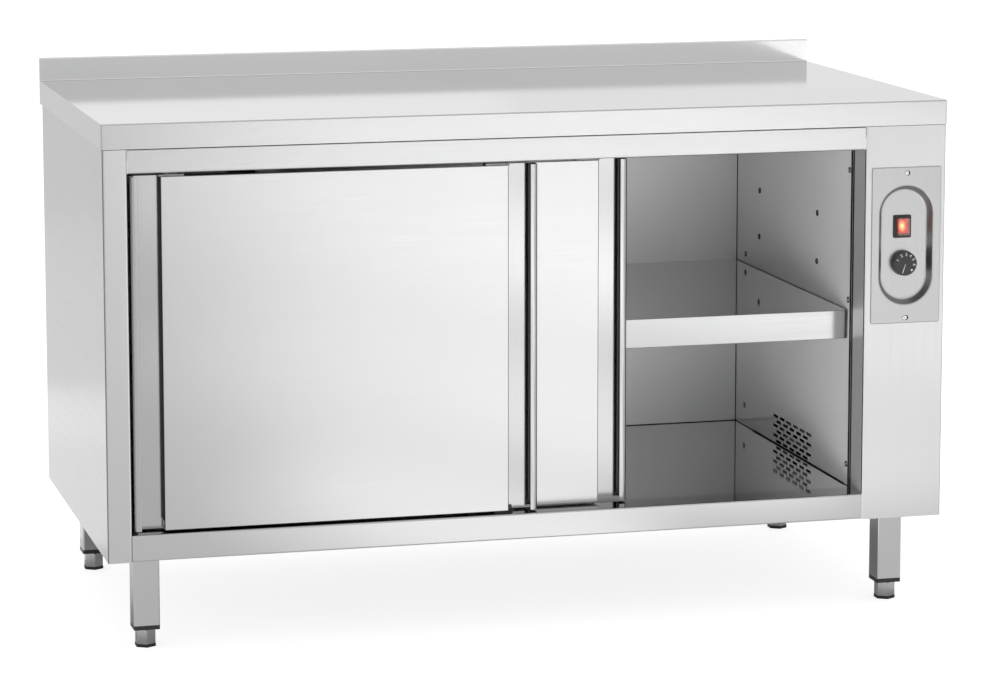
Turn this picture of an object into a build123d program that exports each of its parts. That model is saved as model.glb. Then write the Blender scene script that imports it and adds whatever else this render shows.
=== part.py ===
"""Plate warmer cabinet: a heated stainless-steel cupboard on four legs, with two hanging sliding doors,
a loose shelf, a crossflow heater behind the right-hand wall and a control column at the right.

Millimetres. +Z is up, the front faces -Y, +X is to the right of someone facing the cabinet.
The origin is on the floor, under the middle of the overall box. Every piece is its own solid in its own node.
"""
from build123d import *

import os
from math import atan2, cos, hypot, radians, sin, sqrt

# ---------------------------------------------------------------- driving dimensions: the cabinet
WIDTH = 1400.0              # worktop, left to right
DEPTH = 700.0               # worktop, front to back
WORKTOP_Z = 850.0           # floor to worktop
APRON = 40.0                # depth of the worktop's folded edge
UPSTAND = 40.0              # rear splash edge above the worktop
UPSTAND_THICK = 10.0
LEG_HEIGHT = 153.0          # floor to underside of the body
OVERHANG_FRONT = 2.0        # worktop beyond the body
OVERHANG_SIDE = 2.0
OVERHANG_BACK = 15.0
STILE = 38.0                # front face left of the opening
COLUMN = 138.0              # front face right of the opening, with the controls
TOP_RAIL = 39.0
BOTTOM_RAIL = 43.0
RAIL_STEP = 1.0             # the bottom rail's lower edge above the stile's
JAMB = 54.0                 # depth of the returns beside the doors
JAMB_SLOT = 6.0             # open joint between jamb and cavity wall
BACK_WALL = 23.0            # cavity back to outside of the rear panel
CEILING_RISE = 5.0          # cavity ceiling above the opening's upper edge, up against the track

TOP_SHEET = 1.5             # worktop
BODY_SHEET = 1.2            # outer casing
CAVITY_SHEET = 1.0          # inner chamber
BEND = 1.5                  # inside bend radius
FLANGE = 20.0
HEM = 12.0

# ---------------------------------------------------------------- worktop inside
BOARD_THICK = 18.0
STIFFENERS = 3
STIFFENER_CROWN = 40.0
STIFFENER_FLANGE = 15.0
STIFFENER_PITCH = 210.0

# ---------------------------------------------------------------- doors
DOOR_OVERLAP = 114.0        # of the two doors when both are shut
DOOR_END_GAP = 5.0          # door edge to jamb, shut
DOOR_THICK = 22.0
DOOR_SHEET = 1.0
DOOR_SETBACK = 12.0         # front door behind the body's front
RAIL_LIP_CLEAR = 4.0        # top rail's lower lip in front of the doors
DOOR_GAP_Y = 7.0            # between the two doors
DOOR_CLEAR_TOP = 7.0
DOOR_CLEAR_BOTTOM = 3.0
DOOR_B_OPEN = 159.0         # how far door B stands from the left jamb position at rest
GRIP_WIDTH = 50.0           # finger channel with its lip
LIP_WIDTH = 13.0            # rounded outer edge, turned in over the channel
LIP_RADIUS = 8.0
LIP_HEM = 4.0
LIP_SETBACK = 0.5
GUIDE_SLOT = 8.0
GUIDE_SLOT_HEIGHT = 12.0
GUIDE_LENGTH = 30.0
GUIDE_PLATE = 1.5
GUIDE_FIN = 8.0             # fin height into the door's slot
GUIDE_SIDE_CLEAR = 1.0

# ---------------------------------------------------------------- hanging gear
TRACK_WEB = 1.6
TRACK_LEDGE = 1.5
TRACK_ABOVE_OPENING = 6.0
TRACK_END_GAP = 1.0
HANGER_INSET = 67.0
HANGER_FOOT = (40.0, 18.0, 3.0)
HANGER_STEM = (20.0, 4.0)
AXLE_RADIUS = 3.0
AXLE_HALF = 9.0
ROLLER_RADIUS = 11.0
ROLLER_WIDTH = 6.0
ROLLER_SIDE_CLEAR = 0.6
ROLLER_LIFT = 0.3           # clear of the ledge
RUNNING_CLEAR = 0.05        # radial, shaft in hole

# ---------------------------------------------------------------- shelf
SHELF_TOP = 494.0
SHELF_LIP = 48.0
SHELF_SIDE = 20.0
SHELF_FRONT_SETBACK = 13.0  # behind the cavity's front edge
SHELF_SIDE_CLEAR = 3.0
SHELF_BACK_CLEAR = 2.0
PIN_RADIUS = 3.5
PIN_REACH = 9.0
PIN_TAIL = 7.0
PIN_COLLAR = (5.0, 1.2)
PIN_Y = (-117.0, 187.0)
PIN_PITCH = 83.0
PIN_LEVELS = 3
SEAT_CLEAR = 0.3

# ---------------------------------------------------------------- legs and feet
LEG_SIDE = 42.0
LEG_WALL = 1.5
LEG_CORNER = 3.0
LEG_INSET_X = 70.0          # leg centre from the worktop's end
LEG_INSET_Y = 73.0
LEG_PLATE = (88.0, 3.0)
PAN_RECESS = 6.0            # base pan above the body's lower edge
PAN_FRONT_GAP = 4.0         # behind the bottom rail's flange
FOOT_HEIGHT = 30.0
FOOT_ACROSS_FLATS = 30.0
FOOT_PAD = 5.0              # height of the glide pad
FOOT_PAD_PROUD = 0.5        # pad beyond the hexagon, all round
FOOT_CHAMFER = 2.0          # turned off the hexagon's upper corners
STUD_RADIUS = 5.0
STUD_LENGTH = 46.0
CAP_THICK = 7.0
CAP_PLUG = 22.0
CAP_SIDE_CLEAR = 0.2

# ---------------------------------------------------------------- control panel
PLATE_SIZE = (121.0, 260.0, 2.0)
PLATE_CORNER = 3.0
PLATE_Z = 611.0             # centre of the plate
PLATE_OFFSET = 2.5          # plate centre right of the column's centre
DISH_SIZE = (94.0, 198.0)   # at the face
DISH_FLOOR = (80.0, 184.0)
DISH_DEPTH = 13.5
DISH_SHEET = 1.2
DISH_MOUTH_BEND = 2.5       # rounding where the dish leaves the plate
DISH_FLOOR_BEND = 4.0       # and where its wall meets its floor
SWITCH_Z = 641.0
SWITCH_OFFSET = -2.5        # left of the knob's axis
BEZEL = (31.0, 38.0, 2.5)
BEZEL_EDGE = (5.6, 6.6)      # bezel wider and higher than the housing behind it
ROCKER_WIDTH = 17.4
ROCKER_RADIUS = 12.4
ROCKER_SINK = 3.0           # pivot behind the bezel's face
ROCKER_RISE = 3.5
ROCKER_DIP = 1.6            # of the face's V, below its ends
ROCKER_TILT = 10.0
SWITCH_DEPTH = 26.0
COVER = (20.8, 29.5, 9.2)
COVER_WALL = 0.9
KNOB_Z = 580.0
KNOB_RADIUS = 21.0
KNOB_HEIGHT = 13.0
KNOB_FLOAT = 0.5            # off the dish floor
SPINDLE_RADIUS = 3.0
SPINDLE_DEPTH = 12.0
SPINDLE_ROOM = 1.5          # round the spindle in the dish's floor
THERMOSTAT = (44.0, 32.0, 40.0)

# ---------------------------------------------------------------- heating unit
SLOT_ROWS = 6
SLOT_COLUMNS = 6
SLOT_SIZE = (27.0, 5.0)
SLOT_PITCH = (35.0, 8.8)
SLOT_TOP = 50.0             # top row above the floor
SLOT_CENTRE_Y = 2.5
FLOOR_GAP = 2.4             # drain gap under the right wall
FLOOR_GAP_Y = (-263.0, 216.0)
FAN_LENGTH = 188.0
FAN_RADIUS = 30.0
FAN_BORE = 22.0
FAN_BLADES = 18
FAN_BLADE_LEAD = radians(14)
FAN_BLADE_SAG = 1.8
FAN_BLADE_THICK = 0.9
FAN_TIP_INSET = 0.5         # blade tips inside the rings' rim
FAN_DISC = 1.2
FAN_OFFSET_X = 66.0         # impeller axis from the cavity wall
FAN_TIP_CLEAR = 3.0
FAN_END_CLEAR = 2.0
FAN_SHAFT_RADIUS = 3.0
FAN_SHAFT_LENGTH = 14.0
DUCT_HEIGHT = 50.0
MOTOR = (29.0, 36.0)
HEATER_RADIUS = 3.2
HEATER_PITCH = 27.0
HEATER_OUT = 16.0           # from the cavity wall's back
HEATER_UP = 14.0            # lower run above the cavity floor
SENSOR_RADIUS = 3.0
SENSOR_HALF = 35.0
SENSOR_UP = 24.0            # above the impeller's axis
FAN_PLATE = 1.5

# ---------------------------------------------------------------- supply
GLAND_THREAD = 8.0
GLAND_BORE = 4.5
GLAND_REACH = 14.0
GLAND_NUT = 22.0            # across the flats of the locknut and the hexagon
GLAND_HEX = 5.0             # their thickness
GLAND_INSET = 58.0          # gland's axis from the right end of the body
GLAND_Z = 205.0
TERMINAL_FROM_BACK = 39.0
TERMINAL_Z = 300.0
TERMINAL_WAYS = 5
TERMINAL_PITCH = 12.0
TERMINAL_BLOCK = (20.0, 18.0, 12.0, 2.0)    # depth, height, floor and barriers

# ---------------------------------------------------------------- worked-out places
BODY_X = WIDTH / 2 - OVERHANG_SIDE
FRONT = -DEPTH / 2 + OVERHANG_FRONT
BACK = DEPTH / 2 - OVERHANG_BACK
BODY_TOP = WORKTOP_Z - APRON
BODY_BOTTOM = LEG_HEIGHT
OPEN_LEFT = -BODY_X + STILE
OPEN_RIGHT = BODY_X - COLUMN
OPEN_TOP = BODY_TOP - TOP_RAIL
OPEN_BOTTOM = BODY_BOTTOM + BOTTOM_RAIL
CAVITY_FRONT = FRONT + JAMB + JAMB_SLOT
CAVITY_BACK = BACK - BACK_WALL
CAVITY_TOP = OPEN_TOP + CEILING_RISE
CAVITY_X = (OPEN_LEFT - CAVITY_SHEET, OPEN_RIGHT + CAVITY_SHEET)    # floor, ceiling and back, with the walls
PAN_Z = BODY_BOTTOM + PAN_RECESS
PAN_FRONT = FRONT + FLANGE + PAN_FRONT_GAP
PANEL_BACK = BACK - BODY_SHEET          # rear panel's outer face, inside the side panels' rear flanges
PANEL_REACH = BODY_X - BODY_SHEET - BEND
GLAND_PLACE = (BODY_X - GLAND_INSET, GLAND_Z)

DOOR_WIDTH = (OPEN_RIGHT - OPEN_LEFT - 2 * DOOR_END_GAP + DOOR_OVERLAP) / 2
DOOR_Z0 = OPEN_BOTTOM + DOOR_CLEAR_BOTTOM
DOOR_Z1 = OPEN_TOP - DOOR_CLEAR_TOP
DOOR_PITCH = DOOR_THICK + DOOR_GAP_Y
DOOR_SHUT_LEFT = OPEN_LEFT + DOOR_END_GAP
DOOR_FACES = {"a": FRONT + DOOR_SETBACK, "b": FRONT + DOOR_SETBACK + DOOR_PITCH}
DOOR_LEFTS = {"a": DOOR_SHUT_LEFT, "b": DOOR_SHUT_LEFT + DOOR_B_OPEN}
TRACK_Z = OPEN_TOP + TRACK_ABOVE_OPENING
TRACK_BACK = DOOR_FACES["b"] + DOOR_THICK / 2 + DOOR_PITCH / 2 + TRACK_WEB / 2
AXLE_Z = TRACK_Z + TRACK_LEDGE + ROLLER_LIFT + ROLLER_RADIUS

LEG_X = WIDTH / 2 - LEG_INSET_X
LEG_Y = DEPTH / 2 - LEG_INSET_Y
CORNERS = {"front_left": (-LEG_X, -LEG_Y), "front_right": (LEG_X, -LEG_Y),
           "rear_left": (-LEG_X, LEG_Y), "rear_right": (LEG_X, LEG_Y)}

COLUMN_X = (OPEN_RIGHT + BODY_X) / 2 + PLATE_OFFSET
SWITCH_X = COLUMN_X + SWITCH_OFFSET
PLATE_FACE = FRONT - PLATE_SIZE[2]
DISH_Y = PLATE_FACE + DISH_DEPTH        # front of the dish's floor
BEZEL_FACE = DISH_Y - BEZEL[2]
ROCKER_Y = BEZEL_FACE + ROCKER_SINK     # the rocker's pivot

SHELF_FLANGE_Z = SHELF_TOP - SHELF_SIDE
PIN_Z = SHELF_FLANGE_Z - SEAT_CLEAR - PIN_RADIUS
FAN_X = OPEN_RIGHT + FAN_OFFSET_X
FAN_Z = OPEN_BOTTOM + DUCT_HEIGHT - FAN_TIP_CLEAR
FAN_Y = (SLOT_CENTRE_Y - FAN_LENGTH / 2, SLOT_CENTRE_Y + FAN_LENGTH / 2)
HEATER_X = OPEN_RIGHT + CAVITY_SHEET + HEATER_OUT
HEATER_Z = (OPEN_BOTTOM + HEATER_UP, OPEN_BOTTOM + HEATER_UP + HEATER_PITCH)
INSULATION_SKIN_GAP = 10.0              # behind the left cavity wall, for the pin tails
WOOL_X = (OPEN_LEFT + 1, OPEN_RIGHT - 1)  # slabs above, below and behind the chamber


# ---------------------------------------------------------------- helpers
def slab(x0, x1, y0, y1, z0, z1):
    """A box from its limits."""
    return Pos((x0 + x1) / 2, (y0 + y1) / 2, (z0 + z1) / 2) * Box(x1 - x0, y1 - y0, z1 - z0)


def along_x(face, x0, x1):
    """A (y, z) section extruded from x0 to x1."""
    return Pos(x0, 0, 0) * extrude(Plane.YZ * face, x1 - x0)


def along_y(face, y0, y1):
    """An (x, z) section extruded from y0 to y1."""
    return Pos(0, y1, 0) * extrude(Plane.XZ * face, y1 - y0)


def along_z(face, z0, z1):
    """An (x, y) section extruded from z0 to z1."""
    return Pos(0, 0, z0) * extrude(face, z1 - z0)


def rod_x(radius, x0, x1, y, z):
    return along_x(Pos(y, z) * Circle(radius), x0, x1)


def rod_y(radius, x, z, y0, y1):
    return along_y(Pos(x, z) * Circle(radius), y0, y1)


def rod_z(radius, x, y, z0, z1):
    return along_z(Pos(x, y) * Circle(radius), z0, z1)


def bent(path, thick, bend=BEND):
    """Section of a folded sheet. `path` runs along its outside face, with the metal on the left."""
    count = len(path)
    headings = [atan2(path[i + 1][1] - path[i][1], path[i + 1][0] - path[i][0]) for i in range(count - 1)]
    inner, outside_radii, inside_radii = [], [], []
    for i, (x, y) in enumerate(path):
        before, after = headings[max(i - 1, 0)], headings[min(i, count - 2)]
        half = (after - before) / 2
        middle = before + half
        reach = thick / cos(half)
        inner.append((x - reach * sin(middle), y + reach * cos(middle)))
        if 0 < i < count - 1:
            left_turn = sin(after - before) > 0
            outside_radii.append(bend + thick if left_turn else bend)
            inside_radii.append(bend if left_turn else bend + thick)
    if count > 2:
        outside = FilletPolyline(*path, radius=outside_radii).edges()
        inside = FilletPolyline(*inner, radius=inside_radii).edges()
    else:
        outside, inside = [Line(*path)], [Line(*inner)]
    ends = [Line(path[0], inner[0]), Line(path[-1], inner[-1])]
    return make_face([*outside, *inside, *ends])


def tray(x0, x1, y0, y1, z0, z1, thick):
    """An open pan, its floor at z1 and its rim pointing down to z0."""
    hollow = slab(x0 + thick, x1 - thick, y0 + thick, y1 - thick, z0, z1 - thick)
    return slab(x0, x1, y0, y1, z0, z1) - hollow


# ---------------------------------------------------------------- worktop
def worktop():
    """Sheet with an apron on all sides, a return under the apron and a boxed upstand at the rear."""
    half_w, half_d = WIDTH / 2, DEPTH / 2
    shell = slab(-half_w, half_w, -half_d, half_d, BODY_TOP, WORKTOP_Z)
    upstand = slab(-half_w, half_w, half_d - UPSTAND_THICK, half_d, BODY_TOP, WORKTOP_Z + UPSTAND)
    solid = shell + upstand
    top_front = solid.edges().filter_by(Axis.X).group_by(Axis.Y)[0].sort_by(Axis.Z)[-1]
    rims = solid.edges().filter_by(Axis.X).group_by(Axis.Z)[-1]
    corners = solid.edges().filter_by(Axis.Z).group_by(Axis.Y)[0]
    solid = fillet([top_front, *rims, *corners], TOP_SHEET + 0.7)
    cove = solid.edges().filter_by(Axis.X).sort_by_distance((0, half_d - UPSTAND_THICK, WORKTOP_Z))[0]
    solid = fillet(cove, BEND)
    in_w, in_d = half_w - TOP_SHEET, half_d - TOP_SHEET
    solid -= slab(-in_w, in_w, -in_d, in_d, BODY_TOP + TOP_SHEET, WORKTOP_Z - TOP_SHEET)
    solid -= slab(-in_w, in_w, half_d - UPSTAND_THICK + TOP_SHEET, in_d,
                  BODY_TOP + TOP_SHEET, WORKTOP_Z + UPSTAND - TOP_SHEET)
    open_w, open_d = half_w - HEM, half_d - HEM
    return solid - slab(-open_w, open_w, -open_d, open_d, BODY_TOP, WORKTOP_Z - TOP_SHEET)


def worktop_board():
    """Chipboard bonded under the sheet."""
    half_w, half_d = WIDTH / 2 - TOP_SHEET, DEPTH / 2 - TOP_SHEET
    back = half_d - UPSTAND_THICK
    return slab(-half_w, half_w, -half_d, back, WORKTOP_Z - TOP_SHEET - BOARD_THICK, WORKTOP_Z - TOP_SHEET)


def worktop_stiffeners():
    """Hat sections that lie on the side panels' top flanges and carry the board."""
    top = WORKTOP_Z - TOP_SHEET - BOARD_THICK - BODY_SHEET
    half, wing = STIFFENER_CROWN / 2, STIFFENER_CROWN / 2 + STIFFENER_FLANGE
    hat = [(-wing, top), (-half, top), (-half, BODY_TOP), (half, BODY_TOP), (half, top), (wing, top)]
    section = bent(hat, BODY_SHEET)
    reach = WIDTH / 2 - HEM - 1
    rows = [(i - (STIFFENERS - 1) / 2) * STIFFENER_PITCH for i in range(STIFFENERS)]
    return [along_x(Pos(y, 0) * section, -reach, reach) for y in rows]


# ---------------------------------------------------------------- outer casing
def side_panel(outline, x_edge):
    """A folded side with inward flanges along its top and bottom."""
    solid = along_z(bent(outline, BODY_SHEET), BODY_BOTTOM, BODY_TOP)
    y0, y1 = FRONT + 3 * BODY_SHEET, BACK - 3 * BODY_SHEET
    outward = 1 if x_edge > 0 else -1
    x0, x1 = sorted((x_edge - outward * BODY_SHEET / 2, x_edge - outward * FLANGE))
    solid += slab(x0, x1, y0, y1, BODY_TOP - BODY_SHEET, BODY_TOP)
    return solid + slab(x0, x1, y0, y1, BODY_BOTTOM, BODY_BOTTOM + BODY_SHEET)


def jamb_notch(x0, x1):
    """Room in a door jamb's lower end for the base pan and a leg's plate."""
    top = PAN_Z + BODY_SHEET + SEAT_CLEAR
    return slab(x0, x1, PAN_FRONT - SEAT_CLEAR, FRONT + JAMB + 1, BODY_BOTTOM - 1, top)


def side_panel_left():
    """Rear flange, side, front stile and door jamb from one sheet."""
    panel = side_panel([(-BODY_X + FLANGE, BACK), (-BODY_X, BACK), (-BODY_X, FRONT), (OPEN_LEFT, FRONT),
                        (OPEN_LEFT, FRONT + JAMB), (OPEN_LEFT - HEM, FRONT + JAMB)], -BODY_X)
    return panel - jamb_notch(OPEN_LEFT - HEM - 1, OPEN_LEFT + 1)


def side_panel_right():
    """Front flange behind the column, side and rear flange."""
    front = FRONT + BODY_SHEET
    outline = [(BODY_X - HEM, front), (BODY_X, front), (BODY_X, BACK), (BODY_X - FLANGE, BACK)]
    return side_panel(outline, BODY_X)


def control_column():
    """Front cover of the control bay, returned as the right door jamb, cut out round the dish."""
    jamb_back = FRONT + JAMB
    outline = [(OPEN_RIGHT + HEM, jamb_back), (OPEN_RIGHT, jamb_back), (OPEN_RIGHT, FRONT), (BODY_X, FRONT)]
    solid = along_z(bent(outline, BODY_SHEET), BODY_BOTTOM, BODY_TOP)
    room = 2 * DISH_SHEET + 2 * SEAT_CLEAR + 4
    cut = along_y(Pos(COLUMN_X, PLATE_Z) * racetrack(DISH_SIZE[0] + room, DISH_SIZE[1] + room),
                  FRONT - 1, FRONT + 2 * BODY_SHEET)
    return solid - cut - jamb_notch(OPEN_RIGHT - 1, OPEN_RIGHT + HEM + 1)


def top_rail():
    """Front above the opening, with a flange over the track and a lip in front of the doors."""
    lip = FRONT + DOOR_SETBACK - RAIL_LIP_CLEAR
    outline = [(FRONT + JAMB, BODY_TOP), (FRONT, BODY_TOP), (FRONT, OPEN_TOP), (lip, OPEN_TOP)]
    return along_x(bent(outline, BODY_SHEET), OPEN_LEFT, OPEN_RIGHT)


def bottom_rail():
    """Front below the opening, its top carried back to the cavity floor, where the two are welded flush."""
    low = BODY_BOTTOM + RAIL_STEP
    outline = [(CAVITY_FRONT, OPEN_BOTTOM), (FRONT, OPEN_BOTTOM), (FRONT, low), (FRONT + FLANGE, low)]
    return along_x(bent(outline, BODY_SHEET), OPEN_LEFT, OPEN_RIGHT)


def back_panel():
    """Rear sheet inside the side panels' flanges, with the cable gland's hole."""
    low = BODY_BOTTOM + 2 * BODY_SHEET
    inner = PANEL_BACK - BODY_SHEET
    solid = slab(-PANEL_REACH, PANEL_REACH, inner, PANEL_BACK, low, BODY_TOP)
    return solid - rod_y(GLAND_THREAD + RUNNING_CLEAR, *GLAND_PLACE, inner - 1, PANEL_BACK + 1)


def base_pan():
    """Inverted pan on the side panels' lower flanges."""
    return tray(-PANEL_REACH, PANEL_REACH, PAN_FRONT, PANEL_BACK - BODY_SHEET,
                BODY_BOTTOM + BODY_SHEET, PAN_Z + BODY_SHEET, BODY_SHEET)


# ---------------------------------------------------------------- inner chamber
def cavity_floor():
    outline = [(CAVITY_BACK, OPEN_BOTTOM - HEM), (CAVITY_BACK, OPEN_BOTTOM), (CAVITY_FRONT, OPEN_BOTTOM)]
    return along_x(bent(outline, CAVITY_SHEET, CAVITY_SHEET), *CAVITY_X)


def cavity_ceiling():
    return slab(*CAVITY_X, CAVITY_FRONT, CAVITY_BACK + CAVITY_SHEET, CAVITY_TOP, CAVITY_TOP + CAVITY_SHEET)


def cavity_back():
    return slab(*CAVITY_X, CAVITY_BACK, CAVITY_BACK + CAVITY_SHEET, OPEN_BOTTOM - HEM, CAVITY_TOP)


def pin_holes(x_wall, outward):
    """Holes for the shelf pins at every level, through the wall at x_wall."""
    x0, x1 = sorted((x_wall - outward, x_wall + outward * (CAVITY_SHEET + 1)))
    return [rod_x(PIN_RADIUS + RUNNING_CLEAR, x0, x1, y, PIN_Z + level * PIN_PITCH)
            for y in PIN_Y for level in range(PIN_LEVELS)]


def hemmed_wall(x_wall, outward):
    """Chamber side wall at x_wall, its front edge folded flat outwards."""
    t = CAVITY_SHEET
    x0, x1 = sorted((x_wall, x_wall + outward * t))
    hem0, hem1 = sorted((x_wall + outward * t, x_wall + outward * 2 * t))
    wall = slab(x0, x1, CAVITY_FRONT + t, CAVITY_BACK, OPEN_BOTTOM, CAVITY_TOP)
    wall += slab(hem0, hem1, CAVITY_FRONT + t, CAVITY_FRONT + HEM, OPEN_BOTTOM, CAVITY_TOP)
    return wall + rod_z(t, x_wall + outward * t, CAVITY_FRONT + t, OPEN_BOTTOM, CAVITY_TOP)


def cavity_wall_left():
    return hemmed_wall(OPEN_LEFT, -1) - pin_holes(OPEN_LEFT, -1)


def through_right_wall(y0, y1, z0, z1):
    """A cutter through the right-hand wall."""
    return slab(OPEN_RIGHT - 1, OPEN_RIGHT + 2 * CAVITY_SHEET + 1, y0, y1, z0, z1)


def vent_slots():
    """Brick-pattern slots in front of the crossflow fan."""
    length, height = SLOT_SIZE
    slots = []
    for row in range(SLOT_ROWS):
        odd = row % 2
        for column in range(SLOT_COLUMNS - odd):
            y = SLOT_CENTRE_Y + (column - (SLOT_COLUMNS - 1 - odd) / 2) * SLOT_PITCH[0]
            z = OPEN_BOTTOM + SLOT_TOP - row * SLOT_PITCH[1]
            slots.append(through_right_wall(y - length / 2, y + length / 2, z - height / 2, z + height / 2))
    return slots


def cavity_wall_right():
    """Wall of the heater bay: vent slots, shelf-pin holes and the drain gap along the floor."""
    gap = through_right_wall(*FLOOR_GAP_Y, OPEN_BOTTOM - 1, OPEN_BOTTOM + FLOOR_GAP)
    return hemmed_wall(OPEN_RIGHT, 1) - [*pin_holes(OPEN_RIGHT, 1), *vent_slots(), gap]


def insulation_floor():
    y0, y1 = CAVITY_FRONT + 3 * CAVITY_SHEET, CAVITY_BACK - 3 * CAVITY_SHEET
    return slab(*WOOL_X, y0, y1, PAN_Z + BODY_SHEET, OPEN_BOTTOM - CAVITY_SHEET)


def insulation_ceiling():
    return slab(*WOOL_X, TRACK_BACK + 1, CAVITY_BACK, CAVITY_TOP + CAVITY_SHEET, BODY_TOP - 3)


def insulation_left():
    x0, x1 = -BODY_X + BODY_SHEET, OPEN_LEFT - INSULATION_SKIN_GAP
    y0, y1 = CAVITY_FRONT + 2, PANEL_BACK - BODY_SHEET - BEND
    return slab(x0, x1, y0, y1, PAN_Z + BODY_SHEET, BODY_TOP - BODY_SHEET)


def insulation_back():
    y0, y1 = CAVITY_BACK + CAVITY_SHEET, PANEL_BACK - BODY_SHEET
    return slab(*WOOL_X, y0, y1, PAN_Z + BODY_SHEET, CAVITY_TOP)


# ---------------------------------------------------------------- door gear on the cabinet
def lane(door):
    """Y of a door's hanging line."""
    return DOOR_FACES[door] + DOOR_THICK / 2


def door_track():
    """Two open-bottomed lanes side by side under the top rail's flange."""
    top = BODY_TOP - BODY_SHEET
    y0, y1 = lane("a") - DOOR_PITCH / 2, lane("b") + DOOR_PITCH / 2
    half_web, half_slot = TRACK_WEB / 2, GUIDE_SLOT / 2
    section = Pos((y0 + y1) / 2, (TRACK_Z + top) / 2) * Rectangle(y1 - y0 + TRACK_WEB, top - TRACK_Z)
    for door in DOOR_FACES:
        middle = lane(door)
        room = DOOR_PITCH / 2 - half_web
        height = top - TRACK_LEDGE - TRACK_Z - TRACK_LEDGE
        section -= Pos(middle, TRACK_Z + TRACK_LEDGE + height / 2) * Rectangle(2 * room, height)
        section -= Pos(middle, TRACK_Z) * Rectangle(2 * half_slot, 3 * TRACK_LEDGE)
    return along_x(section, OPEN_LEFT + TRACK_END_GAP, OPEN_RIGHT - TRACK_END_GAP)


def door_guide():
    """Plate on the bottom rail with a fin for each door's lower slot, where the shut doors overlap."""
    middle = (OPEN_LEFT + OPEN_RIGHT) / 2
    x0, x1 = middle - GUIDE_LENGTH / 2, middle + GUIDE_LENGTH / 2
    half = GUIDE_SLOT / 2 - GUIDE_SIDE_CLEAR
    solid = slab(x0, x1, lane("a") - 8, lane("b") + 6, OPEN_BOTTOM, OPEN_BOTTOM + GUIDE_PLATE)
    for door in DOOR_FACES:
        solid += slab(x0, x1, lane(door) - half, lane(door) + half, OPEN_BOTTOM, DOOR_Z0 + GUIDE_FIN)
    fins = solid.edges().filter_by(Axis.Z).group_by(Axis.X)
    return fillet([e for e in [*fins[0], *fins[-1]] if e.length > 5], half - 0.4)


# ---------------------------------------------------------------- doors
def door_span(door):
    left = DOOR_LEFTS[door]
    return left, left + DOOR_WIDTH, DOOR_FACES[door]


def door_face(door):
    """Face sheet folded back on all four sides, slotted underneath for the guide."""
    x0, x1, y0 = door_span(door)
    y1 = y0 + DOOR_THICK - DOOR_SHEET
    x0, x1 = x0 + GRIP_WIDTH, x1 - GRIP_WIDTH
    solid = slab(x0, x1, y0, y1, DOOR_Z0, DOOR_Z1)
    front = solid.faces().sort_by(Axis.Y)[0]
    solid = fillet(front.edges(), DOOR_SHEET + 0.2)
    t, half = DOOR_SHEET, GUIDE_SLOT / 2
    solid -= slab(x0 + t, x1 - t, y0 + t, y1, DOOR_Z0 + t, DOOR_Z1 - t)
    return solid - slab(x0, x1, lane(door) - half, lane(door) + half, DOOR_Z0, DOOR_Z0 + GUIDE_SLOT_HEIGHT)


def door_liner(door):
    """Flat rear sheet over the whole door."""
    x0, x1, y0 = door_span(door)
    return slab(x0, x1, y0 + DOOR_THICK - DOOR_SHEET, y0 + DOOR_THICK, DOOR_Z0, DOOR_Z1)


def door_core(door):
    x0, x1, y0 = door_span(door)
    inset = GRIP_WIDTH + DOOR_SHEET
    return slab(x0 + inset, x1 - inset, y0 + DOOR_SHEET, y0 + DOOR_THICK - DOOR_SHEET,
                DOOR_Z0 + GUIDE_SLOT_HEIGHT + 1, DOOR_Z1 - DOOR_SHEET)


def grip_section():
    """Finger channel seen from above: floor, outer wall and a rounded lip, from the door's edge inwards."""
    t, r, crest = DOOR_SHEET, LIP_RADIUS, LIP_SETBACK
    floor = DOOR_THICK - 2 * DOOR_SHEET
    turn = r * (1 - cos(radians(45)))
    inner = turn + t * cos(radians(45))
    hem = LIP_WIDTH - LIP_HEM
    return make_face([
        Line((GRIP_WIDTH, floor + t), (0, floor + t)),
        Line((0, floor + t), (0, crest + r)),
        ThreePointArc((0, crest + r), (turn, crest + turn), (r, crest)),
        Line((r, crest), (LIP_WIDTH - t, crest)),
        ThreePointArc((LIP_WIDTH - t, crest), (LIP_WIDTH, crest + t), (LIP_WIDTH - t, crest + 2 * t)),
        Line((LIP_WIDTH - t, crest + 2 * t), (hem, crest + 2 * t)),
        Line((hem, crest + 2 * t), (hem, crest + t)),
        Line((hem, crest + t), (r, crest + t)),
        ThreePointArc((r, crest + t), (inner, crest + inner), (t, crest + r)),
        Line((t, crest + r), (t, floor)),
        Line((t, floor), (GRIP_WIDTH, floor)),
        Line((GRIP_WIDTH, floor), (GRIP_WIDTH, floor + t))])


def door_grips(door):
    """The two formed channels that close the door's edges, mirror images of each other."""
    x0, x1, y0 = door_span(door)
    left = along_z(Pos(x0, y0) * grip_section(), DOOR_Z0, DOOR_Z1)
    right = mirror(left, Plane.YZ.offset((x0 + x1) / 2))
    return [left, right]


def hanger_places(door):
    x0, x1, _ = door_span(door)
    return x0 + HANGER_INSET, x1 - HANGER_INSET


def door_hangers(door):
    """Foot on the door's upper edge, stem through the track's slot, and a fixed axle across it."""
    hangers = []
    y = lane(door)
    for x in hanger_places(door):
        foot = along_z(Pos(x, y) * Rectangle(*HANGER_FOOT[:2]), DOOR_Z1, DOOR_Z1 + HANGER_FOOT[2])
        top = AXLE_Z + AXLE_RADIUS + 3
        outline = Pos(x, (DOOR_Z1 + top) / 2) * RectangleRounded(HANGER_STEM[0], top - DOOR_Z1, 4)
        stem = along_y(outline, y - HANGER_STEM[1] / 2, y + HANGER_STEM[1] / 2)
        axle = rod_y(AXLE_RADIUS, x, AXLE_Z, y - AXLE_HALF, y + AXLE_HALF)
        hangers.append(foot + stem + axle)
    return hangers


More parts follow.
